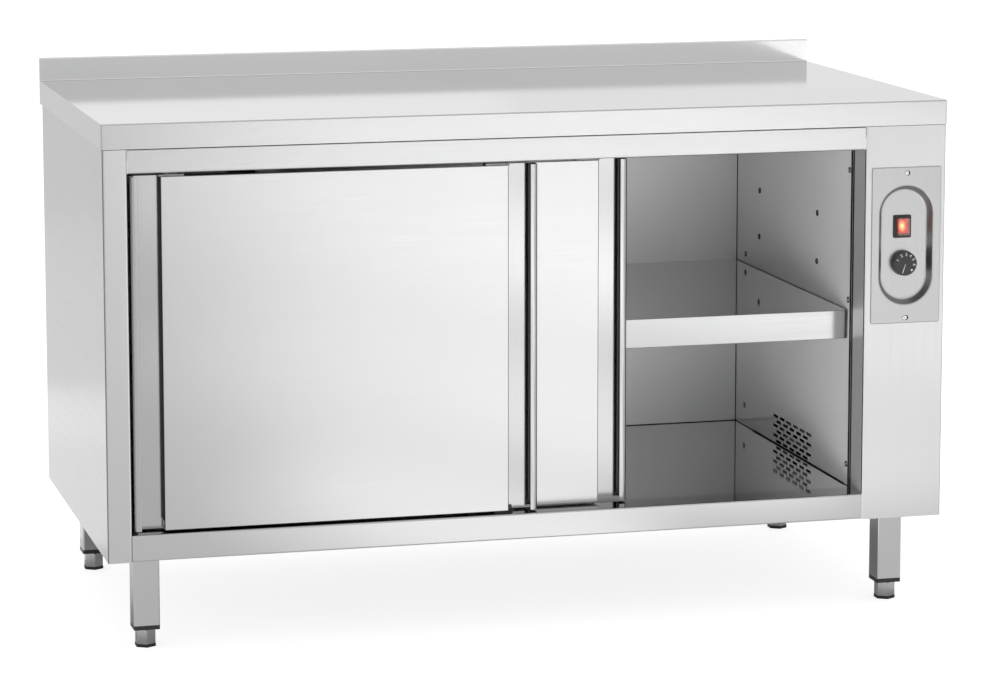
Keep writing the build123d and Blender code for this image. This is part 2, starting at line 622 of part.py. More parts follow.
def door_rollers(door, side):
    """The pair of nylon rollers on one hanger, one each side of its stem."""
    x = hanger_places(door)[side]
    y = lane(door)
    rollers = []
    for way in (-1, 1):
        near = HANGER_STEM[1] / 2 + ROLLER_SIDE_CLEAR
        tread = [(AXLE_RADIUS + RUNNING_CLEAR, 0), (ROLLER_RADIUS - 1, 0), (ROLLER_RADIUS, 1),
                 (ROLLER_RADIUS, ROLLER_WIDTH - 1), (ROLLER_RADIUS - 1, ROLLER_WIDTH),
                 (AXLE_RADIUS + RUNNING_CLEAR, ROLLER_WIDTH)]
        wheel = revolve(make_face(Polyline(*tread, close=True)), Axis.Y)
        y0 = y + near if way > 0 else y - near - ROLLER_WIDTH
        rollers.append(Pos(x, y0, AXLE_Z) * wheel)
    return rollers


# ---------------------------------------------------------------- shelf
def shelf():
    """Loose shelf with a deep front lip and shallow flanges on the other sides."""
    x0, x1 = OPEN_LEFT + SHELF_SIDE_CLEAR, OPEN_RIGHT - SHELF_SIDE_CLEAR
    y0, y1 = CAVITY_FRONT + SHELF_FRONT_SETBACK, CAVITY_BACK - SHELF_BACK_CLEAR
    solid = tray(x0, x1, y0, y1, SHELF_FLANGE_Z, SHELF_TOP, BODY_SHEET)
    low = SHELF_TOP - SHELF_LIP
    solid += slab(x0, x1, y0, y0 + BODY_SHEET, low, SHELF_FLANGE_Z + BODY_SHEET)
    solid += slab(x0, x1, y0, y0 + HEM, low, low + BODY_SHEET)
    front = solid.edges().filter_by(Axis.X).group_by(Axis.Y)[0]
    solid = fillet(front, 0.9 * BODY_SHEET)
    return solid


def shelf_pins():
    """Turned pins in the cavity walls: stub under the shelf's flange, collar and tail."""
    pins = []
    for x_wall, outward in ((OPEN_LEFT, -1), (OPEN_RIGHT, 1)):
        for y in PIN_Y:
            tail = x_wall + outward * (CAVITY_SHEET + PIN_TAIL)
            tip = x_wall - outward * PIN_REACH
            collar = sorted((x_wall, x_wall - outward * PIN_COLLAR[1]))
            pin = rod_x(PIN_RADIUS, *sorted((tail, tip)), y, PIN_Z)
            pins.append(pin + rod_x(PIN_COLLAR[0], *collar, y, PIN_Z))
    return pins


# ---------------------------------------------------------------- legs and feet
def leg(x, y):
    """Square tube with a welded top plate under the base pan."""
    top = PAN_Z - LEG_PLATE[1]
    outer = Pos(x, y) * RectangleRounded(LEG_SIDE, LEG_SIDE, LEG_CORNER)
    inside = LEG_SIDE - 2 * LEG_WALL
    inner = Pos(x, y) * RectangleRounded(inside, inside, LEG_CORNER - LEG_WALL)
    tube = along_z(outer - inner, FOOT_HEIGHT + CAP_THICK, top)
    plate = along_z(Pos(x, y) * RectangleRounded(LEG_PLATE[0], LEG_PLATE[0], 6), top, PAN_Z)
    return tube + plate


def leg_caps():
    """Moulded plugs that close the tubes and take the feet's studs."""
    caps = []
    bore = STUD_RADIUS + RUNNING_CLEAR
    inside = LEG_SIDE - 2 * LEG_WALL - 2 * CAP_SIDE_CLEAR
    seat = FOOT_HEIGHT + CAP_THICK
    for x, y in CORNERS.values():
        cap = along_z(Pos(x, y) * RectangleRounded(LEG_SIDE, LEG_SIDE, LEG_CORNER), FOOT_HEIGHT, seat)
        plug = chamfer(Rectangle(inside, inside).vertices(), LEG_CORNER - LEG_WALL)
        cap += along_z(Pos(x, y) * plug, seat, seat + CAP_PLUG)
        caps.append(cap - rod_z(bore, x, y, FOOT_HEIGHT - 1, seat + CAP_PLUG + 1))
    return caps


def hexagon(x, y, across_flats):
    """A hexagon with a corner to the front."""
    return Pos(x, y) * Rot(0, 0, 30) * RegularPolygon(across_flats / cos(radians(30)) / 2, 6)


def foot(x, y):
    """Hexagonal screw foot with its stud, on a glide pad of the same outline."""
    body = along_z(hexagon(x, y, FOOT_ACROSS_FLATS), FOOT_PAD, FOOT_HEIGHT)
    corner = FOOT_ACROSS_FLATS / cos(radians(30)) / 2
    turned = [(0, FOOT_PAD), (corner, FOOT_PAD), (corner, FOOT_HEIGHT - FOOT_CHAMFER),
              (corner - 2 * FOOT_CHAMFER, FOOT_HEIGHT), (0, FOOT_HEIGHT)]
    cone = revolve(Plane.XZ * make_face(Polyline(*turned, close=True)), Axis.Z)
    body = body & (Pos(x, y) * cone)
    body += rod_z(STUD_RADIUS, x, y, FOOT_HEIGHT, FOOT_HEIGHT + STUD_LENGTH)
    return [body, along_z(hexagon(x, y, FOOT_ACROSS_FLATS + 2 * FOOT_PAD_PROUD), 0, FOOT_PAD)]


# ---------------------------------------------------------------- controls
def racetrack(width, height):
    """An upright oval with straight sides, in its own plane."""
    return Rot(0, 0, 90) * SlotOverall(height, width)


def dish_outline(size, y, grow):
    """The dish's oval at depth y, grown all round."""
    return Plane.XZ.offset(-y) * Pos(COLUMN_X, PLATE_Z) * racetrack(size[0] + 2 * grow, size[1] + 2 * grow)


def dish_plug(grow):
    """What fills the dish's inside, or with `grow` its outside, rounded off at the floor."""
    plug = loft([dish_outline(DISH_SIZE, PLATE_FACE, grow), dish_outline(DISH_FLOOR, DISH_Y + grow, grow)])
    return fillet(plug.faces().sort_by(Axis.Y)[-1].edges(), DISH_FLOOR_BEND + grow)


def control_plate():
    """Cover plate with the pressed oval dish for the switch and the knob."""
    w, h, t = PLATE_SIZE
    outline = Pos(COLUMN_X, PLATE_Z) * RectangleRounded(w, h, PLATE_CORNER)
    plate = along_y(outline, PLATE_FACE, FRONT)
    plate = fillet(plate.faces().sort_by(Axis.Y)[0].edges(), 0.8 * t)
    plate = plate + dish_plug(DISH_SHEET) - dish_plug(0.0)
    front = plate.faces().filter_by(Plane.XZ).sort_by(Axis.Y)[0]
    plate = fillet(front.inner_wires()[0].edges(), DISH_MOUTH_BEND)
    through = (DISH_Y - 3, DISH_Y + 9)
    cut = Rectangle(BEZEL[0] - BEZEL_EDGE[0] + 2 * SEAT_CLEAR, BEZEL[1] - BEZEL_EDGE[1] + 2 * SEAT_CLEAR)
    switch = along_y(Pos(SWITCH_X, SWITCH_Z) * cut, *through)
    return plate - switch - rod_y(SPINDLE_RADIUS + SPINDLE_ROOM, COLUMN_X, KNOB_Z, *through)


def switch_body():
    """Snap-in housing with a square bezel; the rocker turns in its well."""
    bezel = along_y(Pos(SWITCH_X, SWITCH_Z) * RectangleRounded(BEZEL[0], BEZEL[1], 2.5), BEZEL_FACE, DISH_Y)
    bezel = chamfer(bezel.faces().sort_by(Axis.Y)[0].edges(), 0.8)
    box = Pos(SWITCH_X, SWITCH_Z) * Rectangle(BEZEL[0] - BEZEL_EDGE[0], BEZEL[1] - BEZEL_EDGE[1])
    housing = along_y(box, DISH_Y, DISH_Y + SWITCH_DEPTH)
    well_x = ROCKER_WIDTH / 2 + SEAT_CLEAR
    well_z = ROCKER_RADIUS + SEAT_CLEAR
    well = slab(SWITCH_X - well_x, SWITCH_X + well_x, BEZEL_FACE, ROCKER_Y + ROCKER_RADIUS,
                SWITCH_Z - well_z, SWITCH_Z + well_z)
    return bezel + housing - well


def switch_rocker():
    """Rocker with a shallow V face, its ends turned about the pivot; it rests with the lower half out."""
    rise = ROCKER_SINK + ROCKER_RISE
    dip = rise - ROCKER_DIP
    slope = ROCKER_DIP / (ROCKER_RADIUS - ROCKER_DIP)
    far = 2 * ROCKER_RADIUS
    edge = dip + slope * far
    above = make_face(Polyline((0, dip), (far, edge), (far, far), (-far, far), (-far, edge), close=True))
    section = Circle(ROCKER_RADIUS) - above - Pos(0, -far) * Rectangle(2 * far, 2 * far - 16)
    turned = Rot(0, 0, 90 - ROCKER_TILT) * section
    return along_x(Pos(ROCKER_Y, SWITCH_Z) * turned, SWITCH_X - ROCKER_WIDTH / 2, SWITCH_X + ROCKER_WIDTH / 2)


def switch_cover():
    """Clear splash boot over the rocker."""
    w, h, t = COVER
    outline = Pos(SWITCH_X, SWITCH_Z)
    shell = along_y(outline * RectangleRounded(w, h, 3.0), BEZEL_FACE - t, BEZEL_FACE)
    shell = fillet(shell.faces().sort_by(Axis.Y)[0].edges(), 1.6)
    room = RectangleRounded(w - 2 * COVER_WALL, h - 2 * COVER_WALL, 3.0 - COVER_WALL)
    return shell - along_y(outline * room, BEZEL_FACE - t + COVER_WALL, BEZEL_FACE)


def control_knob():
    """Turned knob with a slight taper and a blind bore for the spindle."""
    base = DISH_Y - KNOB_FLOAT
    top = base - KNOB_HEIGHT
    bore = SPINDLE_RADIUS + RUNNING_CLEAR
    outline = [(bore, base), (KNOB_RADIUS, base), (KNOB_RADIUS, base - 3), (KNOB_RADIUS - 1, top + 1.2),
               (KNOB_RADIUS - 2.2, top), (0, top), (0, top + 4), (bore, top + 4)]
    return Pos(COLUMN_X, 0, KNOB_Z) * revolve(make_face(Polyline(*outline, close=True)), Axis.Y)


def thermostat_spindle():
    """Shaft from the knob's bore into the thermostat."""
    y0 = DISH_Y - KNOB_FLOAT - KNOB_HEIGHT + 4 + SEAT_CLEAR
    y1 = DISH_Y + DISH_SHEET + SPINDLE_DEPTH - SEAT_CLEAR
    return rod_y(SPINDLE_RADIUS, COLUMN_X, KNOB_Z, y0, y1)


def thermostat():
    """Capillary thermostat body against the back of the dish, with its blind spindle bore."""
    w, h, d = THERMOSTAT
    y0 = DISH_Y + DISH_SHEET
    body = slab(COLUMN_X - w / 2, COLUMN_X + w / 2, y0, y0 + d, KNOB_Z - h / 2, KNOB_Z + h / 2)
    return body - rod_y(SPINDLE_RADIUS + RUNNING_CLEAR, COLUMN_X, KNOB_Z, y0, y0 + SPINDLE_DEPTH)


# ---------------------------------------------------------------- supply
def terminal_block():
    """Moulded block on the right side panel, with a barrier between each pair of ways."""
    depth, height, floor, barrier = TERMINAL_BLOCK
    x1 = BODY_X - BODY_SHEET
    length = TERMINAL_WAYS * TERMINAL_PITCH
    y0, z0 = BACK - TERMINAL_FROM_BACK - length, TERMINAL_Z
    block = slab(x1 - depth, x1, y0, y0 + length, z0, z0 + height)
    room = (TERMINAL_PITCH - barrier) / 2
    for way in range(TERMINAL_WAYS):
        y = y0 + (way + 0.5) * TERMINAL_PITCH
        block -= slab(x1 - depth - 1, x1 - floor, y - room, y + room, z0 - 1, z0 + height + 1)
    return block


def cable_gland():
    """Compression gland through the rear panel: locknut, threaded body, hexagon and domed cap."""
    x, z = GLAND_PLACE
    inner, outer = PANEL_BACK - BODY_SHEET, PANEL_BACK
    nut = Pos(x, z) * RegularPolygon(GLAND_NUT / cos(radians(30)) / 2, 6)
    tip = outer + GLAND_REACH
    shoulder, brow = GLAND_NUT / 2 - 0.5, GLAND_BORE + 2
    seat = outer + GLAND_HEX
    dome = [(0, seat), (shoulder, seat), (shoulder, seat + GLAND_HEX), (brow, tip), (0, tip)]
    solid = rod_y(GLAND_THREAD, x, z, inner - GLAND_HEX - 4, seat + 1)
    solid += along_y(nut, inner - GLAND_HEX, inner) + along_y(nut, outer, seat)
    solid += Pos(x, 0, z) * revolve(make_face(Polyline(*dome, close=True)), Axis.Y)
    return solid - rod_y(GLAND_BORE, x, z, inner - GLAND_HEX - 5, tip + 1)


# ---------------------------------------------------------------- heating unit
def scroll_points():
    """Duct floor, scroll arc and tongue, as (x, z) from the impeller's axis."""
    mouth = OPEN_RIGHT + CAVITY_SHEET - FAN_X
    floor = OPEN_BOTTOM + 1.6 - FAN_Z
    tongue_z = OPEN_BOTTOM + DUCT_HEIGHT + 4 - FAN_Z
    wide = -floor
    narrow = FAN_RADIUS + 2 * FAN_TIP_CLEAR
    side = (wide + narrow) / 2
    lip = (narrow * cos(radians(100)), narrow * sin(radians(100)))
    tongue_x = -sqrt((FAN_RADIUS + FAN_TIP_CLEAR) ** 2 - tongue_z ** 2)
    return mouth, floor, (side, 0), lip, (tongue_x, tongue_z)


def fan_housing():
    """Scroll sheet, tongue sheet and the two end plates that carry the shaft."""
    mouth, floor, side, lip, tongue = scroll_points()
    t = CAVITY_SHEET
    grown = [(p[0] * (1 + t / hypot(*p)), p[1] * (1 + t / hypot(*p))) for p in (side, lip)]
    arc = [ThreePointArc((0, floor), side, lip), ThreePointArc((0, floor - t), *grown)]
    under = Line((0, floor - t), (mouth, floor - t))
    scroll = make_face([Line((mouth, floor), (0, floor)), arc[0], Line(lip, grown[1]), arc[1], under,
                        Line((mouth, floor - t), (mouth, floor))])
    tongue_sheet = bent([(tongue[0] - 3, tongue[1] + 8), tongue, (mouth, tongue[1])][::-1], t, 1.0)
    crown = tongue[1] + 9
    upper = [Line(grown[1], (tongue[0], crown)), Line((tongue[0], crown), (mouth, crown))]
    plate = make_face([under, arc[1], *upper, Line((mouth, crown), (mouth, floor - t))])
    place = Pos(FAN_X, FAN_Z)
    y0, y1 = FAN_Y[0] - FAN_END_CLEAR, FAN_Y[1] + FAN_END_CLEAR
    solid = along_y(place * scroll, y0, y1) + along_y(place * tongue_sheet, y0, y1)
    solid += along_y(place * plate, y0 - FAN_PLATE, y0) + along_y(place * plate, y1, y1 + FAN_PLATE)
    solid -= rod_y(FAN_SHAFT_RADIUS + RUNNING_CLEAR, FAN_X, FAN_Z, y0 - 2 * FAN_PLATE, y1 + 2 * FAN_PLATE)
    for z in HEATER_Z:
        solid -= rod_y(HEATER_RADIUS + SEAT_CLEAR, HEATER_X, z, y0 - 2 * FAN_PLATE, y0 + 1)
    return solid


def fan_blade():
    """One forward-curved blade about the impeller's axis: an arc and its copy one thickness away."""
    root = (FAN_BORE, 0)
    reach = FAN_RADIUS - FAN_TIP_INSET
    tip = (reach * cos(FAN_BLADE_LEAD), reach * sin(FAN_BLADE_LEAD))
    run, rise = tip[0] - root[0], tip[1] - root[1]
    chord = hypot(run, rise)
    across = (-rise / chord, run / chord)
    middle = (root[0] + run / 2 - FAN_BLADE_SAG * across[0], rise / 2 - FAN_BLADE_SAG * across[1])
    step = (FAN_BLADE_THICK * across[0], FAN_BLADE_THICK * across[1])
    shifted = [(p[0] + step[0], p[1] + step[1]) for p in (root, middle, tip)]
    return make_face([ThreePointArc(root, middle, tip), Line(tip, shifted[2]),
                      ThreePointArc(*shifted), Line(shifted[0], root)])


def fan_impeller():
    """Crossflow drum: forward-curved blades between two end discs and a middle ring, on shaft stubs."""
    y0, y1 = FAN_Y
    place = Pos(FAN_X, FAN_Z)
    blade = fan_blade()
    drum = []
    for i in range(FAN_BLADES):
        turned = place * Rot(0, 0, 360 / FAN_BLADES * i) * blade
        drum.append(along_y(turned, y0 + FAN_DISC / 2, y1 - FAN_DISC / 2))
    ring = place * (Circle(FAN_RADIUS) - Circle(FAN_BORE - 1))
    drum.append(along_y(ring, SLOT_CENTRE_Y - FAN_DISC / 2, SLOT_CENTRE_Y + FAN_DISC / 2))
    front = rod_y(FAN_RADIUS, FAN_X, FAN_Z, y0, y0 + FAN_DISC)
    drum.append(rod_y(FAN_RADIUS, FAN_X, FAN_Z, y1 - FAN_DISC, y1))
    drum.append(rod_y(FAN_SHAFT_RADIUS, FAN_X, FAN_Z, y0 - FAN_END_CLEAR - FAN_PLATE, y0))
    drum.append(rod_y(FAN_SHAFT_RADIUS, FAN_X, FAN_Z, y1, y1 + FAN_SHAFT_LENGTH))
    return front + drum


def fan_motor():
    """Shaded-pole motor on the rear end plate, with the impeller's shaft in its bore."""
    y0 = FAN_Y[1] + FAN_END_CLEAR + FAN_PLATE
    body = rod_y(MOTOR[0], FAN_X, FAN_Z, y0, y0 + MOTOR[1])
    body = chamfer(body.edges().sort_by(Axis.Y)[-1], 3)
    return body - rod_y(FAN_SHAFT_RADIUS + RUNNING_CLEAR, FAN_X, FAN_Z, y0, y0 + FAN_SHAFT_LENGTH)


def heater_element():
    """Tubular hairpin across the outlet, its terminals through the front end plate."""
    y0 = FAN_Y[0] - FAN_END_CLEAR - FAN_PLATE - 12
    y1 = FAN_Y[1] - 8
    low, high = HEATER_Z
    corners = [(HEATER_X, y0, low), (HEATER_X, y1, low), (HEATER_X, y1, high), (HEATER_X, y0, high)]
    path = FilletPolyline(*corners, radius=HEATER_PITCH / 2 - 0.5)
    start = Plane(origin=(HEATER_X, y0, low), z_dir=(0, 1, 0))
    return sweep(start * Circle(HEATER_RADIUS), path)


def sensor_bulb():
    """Thermostat bulb along the cavity wall above the duct."""
    x = OPEN_RIGHT + CAVITY_SHEET + SEAT_CLEAR + SENSOR_RADIUS
    y0, y1 = SLOT_CENTRE_Y - SENSOR_HALF, SLOT_CENTRE_Y + SENSOR_HALF
    return rod_y(SENSOR_RADIUS, x, FAN_Z + SENSOR_UP, y0, y1)


# ---------------------------------------------------------------- all nodes
def nodes():
    """Every node's name with its solid, or its group of solids."""
    yield "worktop", worktop()
    yield "worktop_board", worktop_board()
    yield "worktop_stiffeners", worktop_stiffeners()
    yield "side_panel_left", side_panel_left()
    yield "side_panel_right", side_panel_right()
    yield "control_column", control_column()
    yield "top_rail", top_rail()
    yield "bottom_rail", bottom_rail()
    yield "back_panel", back_panel()
    yield "base_pan", base_pan()
    yield "cavity_floor", cavity_floor()
    yield "cavity_ceiling", cavity_ceiling()
    yield "cavity_wall_left", cavity_wall_left()
    yield "cavity_wall_right", cavity_wall_right()
    yield "cavity_back", cavity_back()
    yield "insulation_floor", insulation_floor()
    yield "insulation_ceiling", insulation_ceiling()
    yield "insulation_left", insulation_left()
    yield "insulation_back", insulation_back()
    yield "door_track", door_track()
    yield "door_guide", door_guide()
    for door in DOOR_FACES:
        yield f"door_{door}_face", door_face(door)
        yield f"door_{door}_liner", door_liner(door)
        yield f"door_{door}_core", door_core(door)
        yield f"door_{door}_grips", door_grips(door)
        yield f"door_{door}_hangers", door_hangers(door)
        yield f"door_{door}_rollers_left", door_rollers(door, 0)
        yield f"door_{door}_rollers_right", door_rollers(door, 1)
    yield "shelf", shelf()
    yield "shelf_pins", shelf_pins()
    for corner, place in CORNERS.items():
        yield f"leg_{corner}", leg(*place)
        yield f"foot_{corner}", foot(*place)
    yield "leg_caps", leg_caps()
    yield "control_plate", control_plate()
    yield "switch_body", switch_body()
    yield "switch_rocker", switch_rocker()
    yield "switch_cover", switch_cover()
    yield "control_knob", control_knob()
    yield "thermostat_spindle", thermostat_spindle()
    yield "thermostat", thermostat()
    yield "sensor_bulb", sensor_bulb()
    yield "terminal_block", terminal_block()
    yield "cable_gland", cable_gland()
    yield "fan_housing", fan_housing()
    yield "fan_impeller", fan_impeller()
    yield "fan_motor", fan_motor()
    yield "heater_element", heater_element()


def main():
    os.makedirs("parts", exist_ok=True)
    for name, shape in nodes():
        solids = shape if isinstance(shape, list) else shape.solids()
        whole = solids[0] if len(solids) == 1 else Compound(children=list(solids))
        export_step(whole, f"parts/{name}.step")


main()
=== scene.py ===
from math import cos, pi, radians, sin

import bmesh
import bpy
from mathutils import Matrix, Vector

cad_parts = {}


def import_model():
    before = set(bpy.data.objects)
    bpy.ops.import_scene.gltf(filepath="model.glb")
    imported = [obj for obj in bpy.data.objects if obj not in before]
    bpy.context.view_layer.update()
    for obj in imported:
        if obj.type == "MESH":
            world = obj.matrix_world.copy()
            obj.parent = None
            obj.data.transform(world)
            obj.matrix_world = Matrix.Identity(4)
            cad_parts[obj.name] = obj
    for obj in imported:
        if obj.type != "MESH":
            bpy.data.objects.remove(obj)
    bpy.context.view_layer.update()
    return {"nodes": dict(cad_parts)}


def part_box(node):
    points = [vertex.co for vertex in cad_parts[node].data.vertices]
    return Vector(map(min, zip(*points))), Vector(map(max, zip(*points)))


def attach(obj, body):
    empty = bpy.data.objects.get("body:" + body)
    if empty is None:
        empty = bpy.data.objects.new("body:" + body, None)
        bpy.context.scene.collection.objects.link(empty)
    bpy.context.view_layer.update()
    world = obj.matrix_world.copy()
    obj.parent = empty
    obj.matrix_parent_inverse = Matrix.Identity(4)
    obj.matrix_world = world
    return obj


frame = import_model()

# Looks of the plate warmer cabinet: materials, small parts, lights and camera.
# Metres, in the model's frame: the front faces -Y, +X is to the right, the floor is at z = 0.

NODES = frame["nodes"]
MM = 0.001


# ---------------------------------------------------------------- node helpers
FACING = 0.7                # cosine above which a face counts as looking along an axis


class Shader:
    """One node-based material, with short calls for the nodes that the materials share."""

    def __init__(self, name):
        self.material = bpy.data.materials.new(name)
        self.material.use_nodes = True
        self.nodes = self.material.node_tree.nodes
        self.links = self.material.node_tree.links
        self.surface = self.nodes["Principled BSDF"]
        self.place = self.add("ShaderNodeTexCoord").outputs["Object"]

    def add(self, kind, **settings):
        """A new node with its settings."""
        node = self.nodes.new(kind)
        for key, value in settings.items():
            setattr(node, key, value)
        return node

    def set(self, **values):
        """Values on the surface's own sockets, with _ for each space in a socket's name."""
        for key, value in values.items():
            self.surface.inputs[key.replace("_", " ")].default_value = value

    def feed(self, source, socket):
        """A source linked to a socket of the surface."""
        self.links.new(source, self.surface.inputs[socket])

    def stretched(self, scale):
        """The place on the object, scaled along each axis."""
        mapping = self.add("ShaderNodeMapping")
        mapping.inputs["Scale"].default_value = scale
        self.links.new(self.place, mapping.inputs["Vector"])
        return mapping.outputs["Vector"]

    def noise(self, vector, scale=1.0, detail=2.0, roughness=0.5):
        node = self.add("ShaderNodeTexNoise")
        self.links.new(vector, node.inputs["Vector"])
        node.inputs["Scale"].default_value = scale
        node.inputs["Detail"].default_value = detail
        node.inputs["Roughness"].default_value = roughness
        return node.outputs["Fac"]

    def ranged(self, value, low, high, start=0.3, end=0.7):
        """Value remapped so that start..end becomes low..high."""
        node = self.add("ShaderNodeMapRange")
        self.links.new(value, node.inputs["Value"])
        for key, number in (("From Min", start), ("From Max", end), ("To Min", low), ("To Max", high)):
            node.inputs[key].default_value = number
        return node.outputs["Result"]

    def ramp(self, value, low, high):
        """Colour between two colours."""
        node = self.add("ShaderNodeMix", data_type="RGBA")
        self.links.new(value, node.inputs["Factor"])
        node.inputs["A"].default_value = (*low, 1)
        node.inputs["B"].default_value = (*high, 1)
        return node.outputs["Result"]

    def choose(self, switch, off, on, data_type="FLOAT"):
        """One of two sources, by a switch of 0 or 1."""
        node = self.add("ShaderNodeMix", data_type=data_type)
        for source, socket in ((switch, "Factor"), (off, "A"), (on, "B")):
            self.links.new(source, node.inputs[socket])
        return node.outputs["Result"]

    def math(self, operation, first, second):
        """An operation on two values, the second of which may be a plain number."""
        node = self.add("ShaderNodeMath", operation=operation)
        self.links.new(first, node.inputs[0])
        if isinstance(second, float):
            node.inputs[1].default_value = second
        else:
            self.links.new(second, node.inputs[1])
        return node.outputs["Value"]

    def vector_math(self, operation, vector, second=None):
        """A vector operation with a fixed second vector, or number for SCALE."""
        node = self.add("ShaderNodeVectorMath", operation=operation)
        self.links.new(vector, node.inputs[0])
        if second is not None:
            node.inputs["Scale" if operation == "SCALE" else 1].default_value = second
        return node.outputs["Value" if operation == "LENGTH" else "Vector"]

    def above(self, vector, axis, limit):
        """1 where a vector's x, y or z is over the limit, else 0."""
        parts = self.add("ShaderNodeSeparateXYZ")
        self.links.new(vector, parts.inputs["Vector"])
        return self.math("GREATER_THAN", parts.outputs[axis], limit)

    def normal(self):
        """The face's own direction in the model's frame."""
        return self.add("ShaderNodeNewGeometry").outputs["True Normal"]

    def looks_up(self):
        return self.above(self.normal(), "Z", FACING)

    def looks_left(self):
        return self.above(self.vector_math("SCALE", self.normal(), -1.0), "X", FACING)

    def bump(self, height, distance):
        """Relief of the surface, in metres."""
        node = self.add("ShaderNodeBump")
        self.links.new(height, node.inputs["Height"])
        node.inputs["Distance"].default_value = distance
        node.inputs["Strength"].default_value = 1.0
        self.feed(node.outputs["Normal"], "Normal")


def grey(level):
    """A steel's slightly cool grey."""
    return (level * 0.995, level, level)


# ---------------------------------------------------------------- materials
GRAIN_ALONG = 6.0           # streaks per metre along the grain
GRAIN_ACROSS = 1300.0       # and across it
GRAIN_DEPTH = 0.01 * MM
CLOUD = 0.015               # how far the clouds of tone stray from a steel's level
NEAR_AXIS = 0.001           # keeps the grain's direction off the normal of a face that lies across it


def steel(name, level, rough, along="x", spread=0.03, smear=0.0, edge=0.80, gloss=0.0,
          top=None, upper=None, inner=None):
    """Ground stainless sheet: long fine streaks in height and gloss, and faint clouds of tone.
    level is its brightness, rough its roughness, give or take spread, and along the way of the grain.
    smear is how much further a highlight spreads across the grain than along it, edge how bright the sheet
    is when seen edge on, where 1 is a perfect mirror, gloss how much of it mirrors sharply, top the roughness
    of the faces that look up, upper a height with a lighter level above it as painted light, and inner a
    level for the faces that look to -X, as painted light or painted shade on that side."""
    shader = Shader(name)
    grain_axis = "xyz".index(along)
    scale = [GRAIN_ACROSS] * 3
    scale[grain_axis] = GRAIN_ALONG
    streaks = shader.noise(shader.stretched(scale), detail=3.0, roughness=0.6)
    clouds = shader.noise(shader.place, scale=2.3, detail=2.0)
    shader.set(Metallic=1.0, Specular_Tint=(edge, edge, edge, 1))

    def clouded(low, high):
        return shader.ramp(shader.ranged(clouds, 0, 1), grey(low), grey(high))

    colour = clouded(level * (1 - CLOUD), level * (1 + CLOUD))
    # upper paints light: a lighter copy of the level on everything above the height
    if upper is not None:
        height, painted_level_above = upper
        painted_lighter = clouded(painted_level_above * (1 - CLOUD), painted_level_above * (1 + CLOUD))
        colour = shader.choose(shader.above(shader.place, "Z", height), colour, painted_lighter, "RGBA")
    # inner paints light or shade: another level on the faces that look to -X
    if inner is not None:
        colour = shader.choose(shader.looks_left(), colour, clouded(inner * 0.9, inner), "RGBA")
    shader.feed(colour, "Base Color")
    roughness = shader.ranged(streaks, rough - spread, rough + spread)
    if top is not None:
        roughness = shader.choose(shader.looks_up(), roughness, shader.ranged(streaks, top, top + 0.02))
    shader.feed(roughness, "Roughness")
    shader.bump(streaks, GRAIN_DEPTH)
    if gloss:
        shader.set(Coat_Weight=gloss, Coat_Roughness=0.06, Coat_IOR=1.8)
    if smear:
        shader.set(Anisotropic=smear)
        grain_way = [NEAR_AXIS] * 3
        grain_way[grain_axis] = 1.0
        shader.feed(shader.vector_math("CROSS_PRODUCT", shader.normal(), grain_way), "Tangent")
    return shader.material


def cast_plastic(name, colour, rough=0.45, texture=0.00004):
    """Moulded plastic with a fine spark-eroded texture."""
    shader = Shader(name)
    pebble = shader.noise(shader.place, scale=2600.0, detail=2.0)
    patch = shader.noise(shader.place, scale=30.0)
    darker = tuple(c * 0.85 for c in colour)
    shader.feed(shader.ramp(shader.ranged(patch, 0, 1), darker, colour), "Base Color")
    shader.feed(shader.ranged(pebble, rough - 0.08, rough + 0.08), "Roughness")
    shader.bump(pebble, texture)
    return shader.material


def foot_steel(name, level, rough, pad_height):
    """A steel foot on a black glide pad."""
    shader = Shader(name)
    streaks = shader.noise(shader.stretched((900, 900, 60)), detail=3.0)
    steel_part = shader.above(shader.place, "Z", pad_height)
    shader.feed(shader.ramp(steel_part, (0.012, 0.012, 0.012), grey(level)), "Base Color")
    shader.feed(steel_part, "Metallic")
    pad_roughness = shader.ranged(streaks, 0.5, 0.6)
    steel_roughness = shader.ranged(streaks, rough, rough + 0.06)
    shader.feed(shader.choose(steel_part, pad_roughness, steel_roughness), "Roughness")
    return shader.material


def zinc(name, level=0.62):
    """Galvanised sheet with soft spangle."""
    shader = Shader(name)
    cells = shader.add("ShaderNodeTexVoronoi")
    shader.links.new(shader.place, cells.inputs["Vector"])
    cells.inputs["Scale"].default_value = 140.0
    spangle = shader.add("ShaderNodeSeparateColor")
    shader.links.new(cells.outputs["Color"], spangle.inputs["Color"])
    shader.set(Metallic=1.0)
    shader.feed(shader.ramp(spangle.outputs["Red"], grey(level * 0.88), grey(level * 1.06)), "Base Color")
    shader.feed(shader.ranged(spangle.outputs["Green"], 0.34, 0.50, 0, 1), "Roughness")
    return shader.material


def wool(name):
    """Yellow-brown mineral wool."""
    shader = Shader(name)
    fibres = shader.noise(shader.stretched((900, 260, 900)), detail=5.0, roughness=0.7)
    shader.set(Roughness=1.0)
    shader.feed(shader.ramp(shader.ranged(fibres, 0, 1), (0.38, 0.32, 0.16), (0.68, 0.60, 0.36)), "Base Color")
    shader.bump(fibres, 0.002)
    return shader.material


def chipboard(name):
    shader = Shader(name)
    chips = shader.add("ShaderNodeTexVoronoi")
    shader.links.new(shader.stretched((300, 260, 700)), chips.inputs["Vector"])
    tone = shader.add("ShaderNodeSeparateColor")
    shader.links.new(chips.outputs["Color"], tone.inputs["Color"])
    shader.set(Roughness=0.9)
    shader.feed(shader.ramp(tone.outputs["Blue"], (0.42, 0.27, 0.13), (0.66, 0.49, 0.28)), "Base Color")
    shader.bump(chips.outputs["Distance"], 0.0005)
    return shader.material


NEON_OFFSET = Vector((-1.5, 0.0, 1.0)) * MM     # of the neon lamp from the rocker's middle
NEON_SQUEEZE = (1.25, 0.0, 0.8)
NEON_REACH = (1.0 * MM, 8.5 * MM)               # from its full glow to its edge


